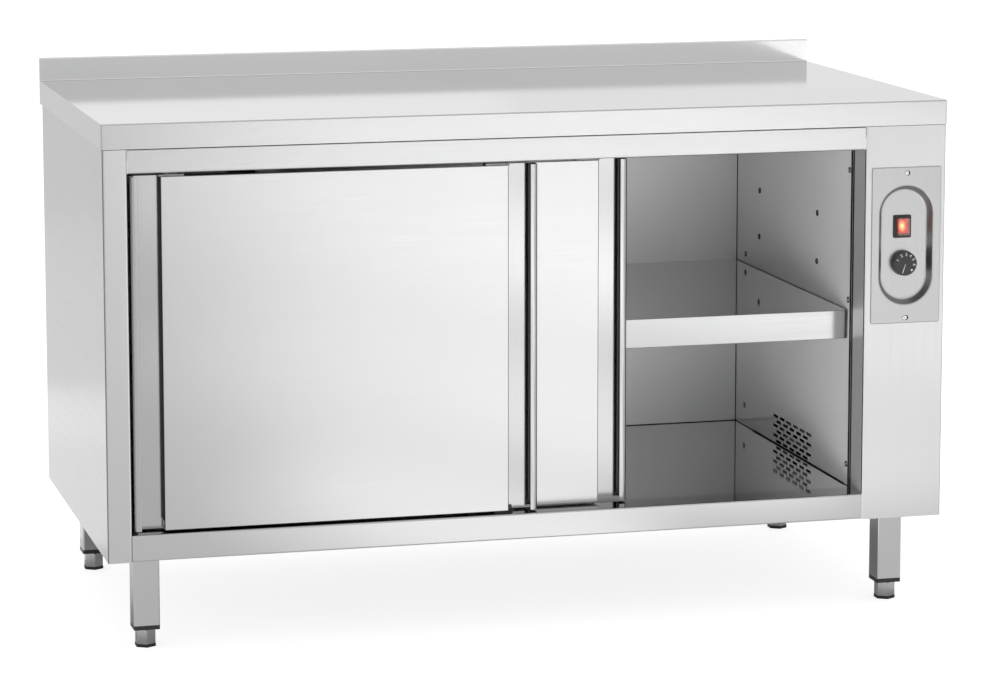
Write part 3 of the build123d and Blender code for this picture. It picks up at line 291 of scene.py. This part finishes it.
def lit_red(name):
    """The neon-lit rocker: brightest near the middle of its face, in an upright oval."""
    shader = Shader(name)
    low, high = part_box("switch_rocker")
    middle = (low + high) / 2
    from_neon = shader.vector_math("SUBTRACT", shader.place, middle + NEON_OFFSET)
    oval = shader.vector_math("MULTIPLY", from_neon, NEON_SQUEEZE)
    glow = shader.ranged(shader.vector_math("LENGTH", oval), 1, 0, *NEON_REACH)
    shader.set(Roughness=0.25)
    shader.feed(shader.ramp(glow, (0.75, 0.03, 0.01), (1.0, 0.30, 0.05)), "Base Color")
    shader.feed(shader.ramp(glow, (0.62, 0.020, 0.006), (1.0, 0.62, 0.22)), "Emission Color")
    shader.feed(shader.ranged(glow, 0.40, 2.2, 0, 1), "Emission Strength")
    return shader.material


def clear_boot(name):
    """Clear silicone with a faint warm haze."""
    shader = Shader(name)
    haze = shader.noise(shader.place, scale=400.0)
    shader.set(IOR=1.41, Transmission_Weight=0.92)
    shader.feed(shader.ramp(shader.ranged(haze, 0, 1), (1.0, 0.80, 0.74), (1.0, 0.90, 0.86)), "Base Color")
    shader.feed(shader.ranged(haze, 0.10, 0.20), "Roughness")
    return shader.material


def copper(name):
    shader = Shader(name)
    stain = shader.noise(shader.place, scale=160.0, detail=4.0)
    shader.set(Metallic=1.0)
    shader.feed(shader.ramp(shader.ranged(stain, 0, 1), (0.52, 0.24, 0.12), (0.86, 0.48, 0.30)), "Base Color")
    shader.feed(shader.ranged(stain, 0.20, 0.42), "Roughness")
    return shader.material


WORKTOP_Z = 0.850           # everything above it is the upstand

MATERIALS = {
    "front": steel("steel_front", 0.455, 0.20),
    "door": steel("steel_door", 0.47, 0.20),
    "rail": steel("steel_rail", 0.47, 0.20, top=0.04),
    # The column's faces that look to -X, the jamb's return, are nearly white: painted light.
    "column": steel("steel_column", 0.59, 0.34, along="z", smear=1.0, inner=0.97),
    "grip": steel("steel_grip", 0.40, 0.14, along="z", spread=0.02),
    "bright": steel("steel_bright", 0.80, 0.22),
    # Near-black steel for the rims round the wall's studs and pin holes: painted shade.
    "rim_shade": steel("steel_rim_shade", 0.03, 0.40),
    "foot": foot_steel("steel_foot", 0.42, 0.22, 5.0 * MM),
    # Near-black steel for the fan's housing and impeller: painted shade of the closed duct.
    "duct": steel("steel_duct_painted_dark", 0.03, 0.45, along="y"),
    # The worktop's faces that look to -X are darker, painted shade, and the upstand above it is lighter,
    # painted light.
    "worktop": steel("steel_worktop", 0.455, 0.18, edge=0.97, top=0.06, inner=0.33,
                     upper=(WORKTOP_Z + 0.3 * MM, 0.66)),
    "side": steel("steel_side", 0.50, 0.22, along="y"),
    "upright": steel("steel_upright", 0.46, 0.16, along="z"),
    "cavity": steel("steel_cavity", 0.50, 0.05, edge=1.0, spread=0.015),
    # Near-white copies of the chamber's steel for its back and side walls: painted light on the shaded
    # chamber.
    "back": steel("steel_back", 0.90, 0.50, along="z", smear=0.15),
    "wall": steel("steel_wall", 0.97, 0.51, along="z", edge=1.0, smear=1.0, gloss=1.0),
    "shelf": steel("steel_shelf", 0.38, 0.16, edge=1.0, top=0.04),
    "plate": steel("steel_plate", 0.40, 0.30, along="z"),
    "pins": steel("steel_pins", 0.50, 0.25),
    "zinc": zinc("galvanised"),
    # A darker copy of the galvanised sheet for the door hangers: painted shade.
    "hanger": zinc("galvanised_painted_shade", 0.24),
    "heater": steel("steel_heater", 0.30, 0.40, along="y"),
    "wool": wool("mineral_wool"),
    "board": chipboard("chipboard"),
    "black": cast_plastic("plastic_black", (0.018, 0.018, 0.019)),
    "knob": cast_plastic("plastic_knob", (0.026, 0.026, 0.027), 0.38),
    "pad": cast_plastic("plastic_pad", (0.30, 0.30, 0.30), 0.6),
    "nylon": cast_plastic("nylon", (0.80, 0.79, 0.74), 0.35),
    "cream": cast_plastic("plastic_cream", (0.70, 0.67, 0.56), 0.5),
    "motor": cast_plastic("motor_lacquer", (0.10, 0.11, 0.12), 0.4),
    "print": cast_plastic("white_print", (0.80, 0.80, 0.79), 0.5, 0.0),
    # Near-black for strips, fillets and discs: painted shade in slots, gaps, corners and channels, and painted
    # dark reflections on the frame's front corners.
    "dark": cast_plastic("painted_shade_black", (0.008, 0.008, 0.008), 0.7),
    "red": lit_red("switch_red"),
    "boot": clear_boot("silicone_boot"),
    "copper": copper("copper"),
}

FINISH = {
    "cavity_back": "back", "cavity_wall_left": "wall", "cavity_wall_right": "wall",
    "worktop": "worktop", "worktop_board": "board", "worktop_stiffeners": "zinc",
    "side_panel_left": "side", "side_panel_right": "side", "back_panel": "side", "base_pan": "zinc",
    "control_column": "column", "top_rail": "front", "bottom_rail": "rail", "control_plate": "plate",
    "door_track": "zinc", "door_guide": "black", "shelf": "shelf", "shelf_pins": "pins", "leg_caps": "black",
    "switch_body": "black", "switch_rocker": "red", "switch_cover": "boot", "control_knob": "knob",
    "thermostat_spindle": "copper", "thermostat": "cream", "sensor_bulb": "copper", "terminal_block": "cream",
    "cable_gland": "black", "fan_housing": "duct", "fan_impeller": "duct", "fan_motor": "motor",
    "heater_element": "heater",
}
FINISH_BY_START = {"cavity": "cavity", "insulation": "wool", "leg": "upright", "foot": "foot"}
FINISH_BY_END = {"core": "wool", "hangers": "hanger", "left": "nylon", "right": "nylon", "grips": "grip",
                 "face": "door", "liner": "front"}


def finish_of(node):
    """A CAD node's material, by its name, its first word or its last."""
    if node in FINISH:
        return FINISH[node]
    words = node.split("_")
    return FINISH_BY_START.get(words[0]) or FINISH_BY_END[words[-1]]


for node_name, node_object in NODES.items():
    node_object.data.materials.clear()
    node_object.data.materials.append(MATERIALS[finish_of(node_name)])


# ---------------------------------------------------------------- mesh helpers
SMOOTH_BELOW = radians(35)
STEPS = 32
ROUND = [2 * pi * i / STEPS for i in range(STEPS)]


def piece(name, mesh, material, body="cabinet", smooth=True):
    """A finished bmesh as a named object that rides on a body."""
    data = bpy.data.meshes.new(name)
    bmesh.ops.recalc_face_normals(mesh, faces=mesh.faces)
    mesh.to_mesh(data)
    mesh.free()
    thing = bpy.data.objects.new(name, data)
    bpy.context.scene.collection.objects.link(thing)
    data.materials.append(MATERIALS[material])
    if smooth:
        data.shade_smooth()
        data.set_sharp_from_angle(angle=SMOOTH_BELOW)
    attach(thing, body)


def turned(profile, matrix=Matrix()):
    """A closed lathe form: profile points are (radius, height) up the axis, both ends on the axis."""
    mesh = bmesh.new()
    rings = []
    for radius, height in profile:
        if radius == 0:
            rings.append([mesh.verts.new((0, 0, height))])
            continue
        rings.append([mesh.verts.new((radius * cos(a), radius * sin(a), height)) for a in ROUND])
    for lower, upper in zip(rings, rings[1:]):
        for i in range(STEPS):
            j = (i + 1) % STEPS
            corners = [lower[i % len(lower)], lower[j % len(lower)],
                       upper[j % len(upper)], upper[i % len(upper)]]
            unique = list(dict.fromkeys(corners))
            if len(unique) > 2:
                mesh.faces.new(unique)
    mesh.transform(matrix)
    return mesh


def facing(point, normal, spin=0.0):
    """Matrix that stands a part's +Z on a point along a normal."""
    turn = Vector(normal).to_track_quat("Z", "Y").to_matrix().to_4x4()
    return Matrix.Translation(point) @ turn @ Matrix.Rotation(spin, 4, "Z")


def merged(meshes):
    """Several bmeshes as one."""
    whole = bmesh.new()
    for mesh in meshes:
        data = bpy.data.meshes.new("part")
        mesh.to_mesh(data)
        mesh.free()
        whole.from_mesh(data)
        bpy.data.meshes.remove(data)
    return whole


# ---------------------------------------------------------------- screws
def screw(point, normal, radius, height, spin):
    """Pan-head screw with a cross recess."""
    r, h = radius, height
    recess = 0.45 * r
    profile = [(0, 0), (r, 0), (r, 0.30 * h), (0.93 * r, 0.62 * h), (0.74 * r, 0.88 * h), (0.5 * r, h),
               (recess, h), (0.30 * r, 0.98 * h), (0, 0.98 * h)]
    head = turned(profile)
    arm, depth = 0.16 * r, 0.45 * h
    top = [v for v in head.verts if v.co.z > 0.9 * h and v.co.xy.length < 0.52 * r]
    for vert in top:
        x, y = abs(vert.co.x), abs(vert.co.y)
        if min(x, y) < arm:
            vert.co.z -= depth * (1 - 0.5 * max(x, y) / recess)
    head.transform(facing(point, normal, spin))
    return head


def disc(point, normal, radius, height):
    """Thin disc with a rounded rim."""
    profile = [(0, 0), (radius, 0), (radius, 0.5 * height), (0.96 * radius, height), (0, height)]
    return turned(profile, facing(point, normal))


PLATE_LOW, PLATE_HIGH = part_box("control_plate")
PLATE_X = (PLATE_LOW.x + PLATE_HIGH.x) / 2
PLATE_Y = PLATE_LOW.y
PLATE_SCREWS = (("upper", PLATE_HIGH.z - 10.0 * MM), ("lower", PLATE_LOW.z + 9.0 * MM))
PLATE_SCREW = (3.7 * MM, 1.5 * MM)      # radius and height
PLATE_SCREW_SINK = 0.9 * MM             # into the plate
PLATE_SLOT_SHADE = (4.0 * MM, 0.1 * MM)
SLOT_SHIFT = 1.6 * MM                   # the plate's holes are slots, open on the right of each screw; black discs there are painted shade

for place_name, z in PLATE_SCREWS:
    head = screw((PLATE_X, PLATE_Y + PLATE_SCREW_SINK, z), (0, -1, 0), *PLATE_SCREW, spin=0.5)
    piece(f"plate_screw_{place_name}", head, "bright")
    # Black discs at each screw and to its right: painted shade of the plate's slot.
    slot_shade_discs = [disc((PLATE_X + shift, PLATE_Y, z), (0, -1, 0), *PLATE_SLOT_SHADE) for shift in (0, SLOT_SHIFT)]
    piece(f"plate_slot_shade_{place_name}", merged(slot_shade_discs), "dark")


# ---------------------------------------------------------------- studs and pin holes of the chamber's walls
WALL_STUDS = ((-0.273, 0.729), (-0.273, 0.511), (-0.273, 0.232), (0.262, 0.511), (0.262, 0.234))      # y, z
PIN_HOLES = ((-0.117, 0.5532), (-0.117, 0.6362), (0.187, 0.5532), (0.187, 0.6362))
RIM = ((3.5, 0.0), (3.5, 0.7), (3.8, 1.0), (4.9, 1.0), (5.2, 0.7), (5.2, 0.0))      # radius, height in mm
WALL_SCREW = (3.4 * MM, 1.8 * MM)


def rim(point, normal):
    """Pressed ring round a hole in the chamber's wall."""
    mesh = bmesh.new()
    loops = []
    for radius, height in RIM:
        r, h = radius * MM, height * MM
        loops.append([mesh.verts.new((r * cos(a), r * sin(a), h)) for a in ROUND])
    for inner, outer in zip(loops, loops[1:] + loops[:1]):
        for i in range(STEPS):
            j = (i + 1) % STEPS
            mesh.faces.new((inner[i], inner[j], outer[j], outer[i]))
    mesh.transform(facing(point, normal))
    return mesh


for wall, out in (("left", 1), ("right", -1)):
    low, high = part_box(f"cavity_wall_{wall}")
    x = high.x if wall == "left" else low.x
    # The rims are near-black: painted shade round the studs and pin holes.
    rims = [rim((x, y, z), (out, 0, 0)) for y, z in WALL_STUDS + PIN_HOLES]
    piece(f"wall_shade_rims_{wall}", merged(rims), "rim_shade")
    heads = [screw((x, y, z), (out, 0, 0), *WALL_SCREW, spin=0.7) for y, z in WALL_STUDS]
    piece(f"wall_screws_{wall}", merged(heads), "bright")

# ---------------------------------------------------------------- black fillets in the chamber's corners, painted shade
BEAD = 1.3 * MM
BEAD_STEPS = 4


def bead(start, end, side_a, side_b):
    """Concave fillet along a corner; the sides are unit vectors along the two sheets."""
    mesh = bmesh.new()
    a, b = Vector(side_a), Vector(side_b)
    ends = []
    for point in (Vector(start), Vector(end)):
        ring = [point]
        for i in range(BEAD_STEPS + 1):
            angle = pi / 2 * i / BEAD_STEPS
            ring.append(point + BEAD * (a * (1 - sin(angle)) + b * (1 - cos(angle))))
        ends.append([mesh.verts.new(corner) for corner in ring])
    count = len(ends[0])
    for i in range(count):
        j = (i + 1) % count
        mesh.faces.new((ends[0][i], ends[0][j], ends[1][j], ends[1][i]))
    mesh.faces.new(ends[0])
    mesh.faces.new(ends[1])
    return mesh


LEFT_WALL, RIGHT_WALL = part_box("cavity_wall_left"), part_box("cavity_wall_right")
ROOM_LOW = Vector((LEFT_WALL[1].x, LEFT_WALL[0].y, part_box("cavity_floor")[1].z))
ROOM_HIGH = Vector((RIGHT_WALL[0].x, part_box("cavity_back")[0].y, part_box("cavity_ceiling")[0].z))
FLOOR_AND_CEILING = ((ROOM_LOW.z, (0, 0, 1)), (ROOM_HIGH.z, (0, 0, -1)))        # height, way into the chamber

beads = []
for x, inward in ((ROOM_LOW.x, (1, 0, 0)), (ROOM_HIGH.x, (-1, 0, 0))):
    beads.append(bead((x, ROOM_HIGH.y, ROOM_LOW.z), (x, ROOM_HIGH.y, ROOM_HIGH.z), inward, (0, -1, 0)))
    for z, upward in FLOOR_AND_CEILING:
        beads.append(bead((x, ROOM_LOW.y, z), (x, ROOM_HIGH.y, z), inward, upward))
for z, upward in FLOOR_AND_CEILING:
    beads.append(bead((ROOM_LOW.x, ROOM_HIGH.y, z), (ROOM_HIGH.x, ROOM_HIGH.y, z), (0, -1, 0), upward))
piece("chamber_shade_beads", merged(beads), "dark")

# ---------------------------------------------------------------- joints between the frame's sheets, with black strips of painted shade
LINE = 1.0 * MM                         # width of a painted shade line
LINE_PROUD = 0.8 * MM                   # and how far it stands out


def strip(low, high, ease=0.25 * MM):
    """Thin bar with eased edges."""
    mesh = bmesh.new()
    bmesh.ops.create_cube(mesh, size=1.0)
    low, high = Vector(low), Vector(high)
    mesh.transform(Matrix.Translation((low + high) / 2) @ Matrix.Diagonal((*(high - low), 1)))
    ease = min(ease, 0.4 * min(high - low))
    bmesh.ops.bevel(mesh, geom=mesh.edges[:], offset=ease, segments=2, affect="EDGES", profile=0.5)
    return mesh


COLUMN_LOW, COLUMN_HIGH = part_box("control_column")
RAIL_LOW, RAIL_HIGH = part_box("top_rail")
FRAME_FRONT = COLUMN_LOW.y
FRAME_LOW, FRAME_HIGH = COLUMN_LOW.z, COLUMN_HIGH.z
OPENING_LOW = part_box("bottom_rail")[1].z
SIDE_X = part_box("side_panel_right")[1].x
CORNER_SHIFT = 0.2 * MM                 # a corner's line behind the frame's front
JAMB_SHIFT = 0.6 * MM                   # the right jamb's line behind the frame's front
JAMB_PROUD = 0.5 * MM                   # and into the opening

# Black strips: painted shade in the gap under the frame's top and beside the right jamb, and painted dark
# reflections down its two front corners.
lines = [strip((-SIDE_X, FRAME_FRONT - LINE_PROUD, FRAME_HIGH - LINE), (SIDE_X, FRAME_FRONT + MM, FRAME_HIGH))]
for side in (-1, 1):
    x0, x1 = sorted((side * SIDE_X, side * (SIDE_X + LINE_PROUD)))
    y0 = FRAME_FRONT + CORNER_SHIFT
    lines.append(strip((x0, y0, FRAME_LOW), (x1, y0 + LINE, FRAME_HIGH)))
jamb_y = FRAME_FRONT + JAMB_SHIFT
lines.append(strip((ROOM_HIGH.x - JAMB_PROUD, jamb_y, OPENING_LOW),
                   (ROOM_HIGH.x + MM, jamb_y + LINE, RAIL_LOW.z)))
piece("frame_shade_lines", merged(lines), "dark")

WELD = 1.2 * MM                         # half the width of a dressed weld
WELD_PROUD = 0.12 * MM
WELD_GAP = 0.3 * MM                     # from the opening's edge
WELD_EASE = 0.1 * MM
welds = [strip((x - WELD, FRAME_FRONT - WELD_PROUD, RAIL_LOW.z + WELD_GAP),
               (x + WELD, FRAME_FRONT + MM, FRAME_HIGH - LINE), WELD_EASE) for x in (RAIL_LOW.x, RAIL_HIGH.x)]
piece("frame_welds", merged(welds), "front")

# A black strip down the slot between jamb and chamber: painted shade.
SLOT_SHADE_X = (ROOM_HIGH.x + 0.2 * MM, ROOM_HIGH.x + 4.0 * MM)               # in the slot between jamb and chamber
SLOT_SHADE_Y = (COLUMN_HIGH.y + 0.4 * MM, RIGHT_WALL[0].y - 0.3 * MM)
slot_shade = strip((SLOT_SHADE_X[0], SLOT_SHADE_Y[0], ROOM_LOW.z), (SLOT_SHADE_X[1], SLOT_SHADE_Y[1], RAIL_LOW.z))
piece("slot_shade_strip", slot_shade, "dark")

EDGE_SHADE_THICK = 0.9 * MM                 # black strips along the front edges of the chamber's walls, painted shade
EDGE_SHADE_WIDTH = 6.5 * MM
for side, wall_x, out in (("left", ROOM_LOW.x, 1), ("right", ROOM_HIGH.x, -1)):
    x0, x1 = sorted((wall_x, wall_x + out * EDGE_SHADE_THICK))
    edge_shade = strip((x0, ROOM_LOW.y, ROOM_LOW.z + MM), (x1, ROOM_LOW.y + EDGE_SHADE_WIDTH, ROOM_HIGH.z - MM))
    piece(f"wall_edge_shade_{side}", edge_shade, "dark")

# ---------------------------------------------------------------- black strips in the doors' finger channels, painted shade
CHANNEL_STRIP = 0.6 * MM
FACE_ROUND = 1.4 * MM           # behind the rounded edge of the door's face
CHANNEL_FLOOR = 1.2 * MM        # in front of the channel's floor
GUIDE_CLEAR = 14.0 * MM         # above the guide that runs in the door's lower edge
for door in ("door_a", "door_b"):
    (x0, y0, z0), (x1, y1, z1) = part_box(f"{door}_face")
    y0, y1, z0 = y0 + FACE_ROUND, y1 - CHANNEL_FLOOR, z0 + GUIDE_CLEAR
    strips = [strip((x0 - CHANNEL_STRIP, y0, z0), (x0, y1, z1)),
              strip((x1, y0, z0), (x1 + CHANNEL_STRIP, y1, z1))]
    piece(f"{door}_channel_shade_strips", merged(strips), "dark", body=door)

# ---------------------------------------------------------------- control knob's marks
KNOB_LOW, KNOB_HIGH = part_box("control_knob")
KNOB_CENTRE = ((KNOB_LOW.x + KNOB_HIGH.x) / 2, KNOB_LOW.y, (KNOB_LOW.z + KNOB_HIGH.z) / 2)
PRINT_DEPTH = 0.1 * MM
DIGIT_HEIGHT = 5.2 * MM
DIGIT_SHARE = 0.7               # of a font's size
DIGIT_BOLD = 0.12 * MM          # by which the strokes are thickened
DIGIT_REACH = 15.2              # mm from the knob's axis
DIGIT_ANGLES = (-66, -29, 3, 33, 64, 98)        # clockwise from the top
DOT_ANGLE = 135
DOT_RADIUS = 1.9                # mm
DOT_STEPS = 16
POINTER_ANGLE = 199
POINTER = ((-0.45, 1.0), (0.45, 1.0), (0.8, 16.0), (0.6, 16.6), (-0.6, 16.6), (-0.8, 16.0))     # mm


def on_knob(angle):
    """Matrix from the knob face's own plane, +Y outwards, to a turn clockwise from the top."""
    stand = Matrix(((1, 0, 0), (0, 0, -1), (0, 1, 0))).to_4x4()
    return Matrix.Translation(KNOB_CENTRE) @ stand @ Matrix.Rotation(radians(-angle), 4, "Z")


def digit(text, angle):
    """One printed digit, standing on the knob's face with its foot to the axis."""
    curve = bpy.data.curves.new("digit", "FONT")
    curve.body = text
    curve.size = DIGIT_HEIGHT / DIGIT_SHARE
    curve.align_x = "CENTER"
    curve.align_y = "CENTER"
    curve.extrude = PRINT_DEPTH
    curve.offset = DIGIT_BOLD
    curve.resolution_u = 4
    holder = bpy.data.objects.new("digit", curve)
    mesh = bmesh.new()
    mesh.from_mesh(holder.to_mesh())
    bmesh.ops.remove_doubles(mesh, verts=mesh.verts, dist=0.01 * MM)
    bpy.data.objects.remove(holder)
    bpy.data.curves.remove(curve)
    mesh.transform(on_knob(angle) @ Matrix.Translation((0, DIGIT_REACH * MM, 0)))
    return mesh


def printed(outline, angle):
    """Flat printed shape on the knob's face, drawn in mm with +Y outwards."""
    mesh = bmesh.new()
    bottom = [mesh.verts.new((x * MM, y * MM, -PRINT_DEPTH)) for x, y in outline]
    top = [mesh.verts.new((x * MM, y * MM, PRINT_DEPTH)) for x, y in outline]
    mesh.faces.new(top)
    mesh.faces.new(bottom[::-1])
    for i in range(len(outline)):
        j = (i + 1) % len(outline)
        mesh.faces.new((bottom[i], bottom[j], top[j], top[i]))
    mesh.transform(on_knob(angle))
    return mesh


turns = [2 * pi * k / DOT_STEPS for k in range(DOT_STEPS)]
dot = [(DOT_RADIUS * cos(a), DIGIT_REACH + DOT_RADIUS * sin(a)) for a in turns]
marks = [digit(str(k + 1), angle) for k, angle in enumerate(DIGIT_ANGLES)]
marks += [printed(dot, DOT_ANGLE), printed(POINTER, POINTER_ANGLE)]
piece("knob_marks", merged(marks), "print", body="knob", smooth=False)

# ---------------------------------------------------------------- floor and world
FLOOR_HALF = 30.0
FLOOR_LEVEL = 0.52
GLOW_SEEN = 0.76            # the floor's own light for the camera,
GLOW_MIRRORED = 0.60        # in reflections,
GLOW_PAINTED_SHADOW = 0.12           # and in reflections of the part under the cabinet, a painted shadow
PAINTED_SHADOW_HALF = (("X", 0.70), ("Y", 0.34))     # the painted shadow's half sizes
WORLD_SEEN = 1.0
WORLD_LIGHT = 0.80


def floor():
    """Pale floor. Seen by the camera and in reflections it also glows a little, and its shadow stays. In
    reflections its glow is lower under the cabinet, a painted shadow.
    """
    mesh = bpy.data.meshes.new("floor")
    corners = [(-FLOOR_HALF, -FLOOR_HALF, 0), (FLOOR_HALF, -FLOOR_HALF, 0), (FLOOR_HALF, FLOOR_HALF, 0),
               (-FLOOR_HALF, FLOOR_HALF, 0)]
    mesh.from_pydata(corners, [], [(0, 1, 2, 3)])
    ground = bpy.data.objects.new("floor", mesh)
    bpy.context.scene.collection.objects.link(ground)
    shader = Shader("floor")
    shader.set(Base_Color=(FLOOR_LEVEL, FLOOR_LEVEL, FLOOR_LEVEL, 1), Roughness=1.0, Specular_IOR_Level=0.0)
    path = shader.add("ShaderNodeLightPath")
    offset = shader.vector_math("ABSOLUTE", shader.place)
    in_painted_shadow = [shader.ranged(shader.above(offset, axis, half), 1, 0, 0, 1) for axis, half in PAINTED_SHADOW_HALF]
    mirror_glow = shader.ranged(shader.math("MULTIPLY", *in_painted_shadow), GLOW_MIRRORED, GLOW_PAINTED_SHADOW, 0, 1)
    mirrored = shader.math("MAXIMUM", path.outputs["Is Glossy Ray"], path.outputs["Is Transmission Ray"])
    seen = shader.math("MULTIPLY", path.outputs["Is Camera Ray"], GLOW_SEEN)
    glow = shader.math("ADD", shader.math("MULTIPLY", mirrored, mirror_glow), seen)
    shader.set(Emission_Color=(1, 1, 1, 1))
    shader.feed(glow, "Emission Strength")
    mesh.materials.append(shader.material)


def world():
    """White where the camera and reflections see it, a little less as light."""
    sky = bpy.data.worlds.new("studio")
    sky.use_nodes = True
    nodes, links = sky.node_tree.nodes, sky.node_tree.links
    background = nodes["Background"]
    path = nodes.new("ShaderNodeLightPath")
    strength = nodes.new("ShaderNodeMapRange")
    links.new(path.outputs["Is Diffuse Ray"], strength.inputs["Value"])
    strength.inputs["To Min"].default_value = WORLD_SEEN
    strength.inputs["To Max"].default_value = WORLD_LIGHT
    background.inputs["Color"].default_value = (1, 1, 1, 1)
    links.new(strength.outputs["Result"], background.inputs["Strength"])
    bpy.context.scene.world = sky


floor()
world()

# ---------------------------------------------------------------- lights
CAMERA_PLACE = Vector((-1.5492, -5.98755, 1.49371))
DOOR_Y = -0.336             # the front of the doors
LAMP_LIFT = 0.005           # off the floor
LAMP_STEP = 0.002           # between overlapping lamps

# Ovals of light on the floor, whose mirror images lie on the doors and rails. Each row has how far out it
# lies, as a share of the way from the doors to the camera, and its length. Each oval has its x on the doors,
# its width there and its level.
LOW_LAMPS = (
    (0.14, 1.2, ((-0.16, 0.65, 0.40), (-0.12, 0.40, 0.45))),
    (0.34, 2.4, ((-0.10, 0.80, 0.50), (-0.04, 0.45, 0.50), (0.75, 0.60, 0.10))),
    (0.71, 4.6, ((-0.03, 0.90, 0.57), (-0.01, 0.48, 1.22), (0.80, 0.75, 0.10))),
    (1.42, 8.0, ((-0.05, 0.80, 0.51), (-0.05, 0.43, 2.35), (0.80, 0.90, 0.10))),
)


def softbox(name, place, size, level, aim=(0, 0, 1), turn=0.0):
    """Oval soft lamp, unseen by the camera. In a mirror it adds level, where 1 is white."""
    lamp = bpy.data.lights.new(name, "AREA")
    lamp.shape = "ELLIPSE"
    lamp.size, lamp.size_y = size
    lamp.energy = level * pi * pi / 4 * size[0] * size[1]
    holder = bpy.data.objects.new(name, lamp)
    holder.location = place
    stand = Vector(aim).to_track_quat("-Z", "Y").to_matrix()
    holder.rotation_euler = (Matrix.Rotation(radians(turn), 3, "Z") @ stand).to_euler()
    holder.visible_camera = False
    bpy.context.scene.collection.objects.link(holder)


for reach, length, ovals in LOW_LAMPS:
    for k, (x, width, level) in enumerate(ovals):
        out_x = x + reach * (x - CAMERA_PLACE.x)
        out_y = DOOR_Y + reach * (CAMERA_PLACE.y - DOOR_Y)
        place = (out_x, out_y, LAMP_LIFT + LAMP_STEP * k)
        softbox(f"low_{reach}_{k}", place, (width * (1 + reach), length), level, turn=-15.0)
softbox("rear_left_near", (-0.87, 1.2, LAMP_LIFT), (0.8, 1.6), 0.30)
softbox("rear_left_far", (-1.12, 3.0, LAMP_LIFT + LAMP_STEP), (1.2, 3.5), 0.12)
for width in (1.5, 2.0, 2.6, 3.2):
    softbox(f"rear_{width}", (-0.4, 4.0, 1.45), (width, 1.0), 0.075, aim=(0.1, -1, -0.14))

# ---------------------------------------------------------------- camera
CAMERA_YAW = radians(-14.79)
CAMERA_PITCH = radians(-8.12)
CAMERA_ROLL = radians(-0.02)
FOCAL_PX = 3683.5
CENTRE_PX = (500, 230)      # where the optical axis meets the photograph
FRAME_PX = (1000, 682)


def camera():
    data = bpy.data.cameras.new("camera")
    data.sensor_width = 36
    data.lens = FOCAL_PX / FRAME_PX[0] * data.sensor_width
    data.shift_x = (FRAME_PX[0] / 2 - CENTRE_PX[0]) / FRAME_PX[0]
    data.shift_y = (CENTRE_PX[1] - FRAME_PX[1] / 2) / FRAME_PX[0]
    data.clip_end = 200
    ahead = Vector((-sin(CAMERA_YAW) * cos(CAMERA_PITCH), cos(CAMERA_YAW) * cos(CAMERA_PITCH),
                    sin(CAMERA_PITCH)))
    right = Vector((cos(CAMERA_YAW), sin(CAMERA_YAW), 0))
    up = right.cross(ahead)
    turn = Matrix((right, up, -ahead)).transposed().to_4x4() @ Matrix.Rotation(CAMERA_ROLL, 4, "Z")
    holder = bpy.data.objects.new("camera", data)
    holder.matrix_world = Matrix.Translation(CAMERA_PLACE) @ turn
    bpy.context.scene.collection.objects.link(holder)
    bpy.context.scene.camera = holder


camera()
bpy.context.scene.view_settings.view_transform = "Standard"
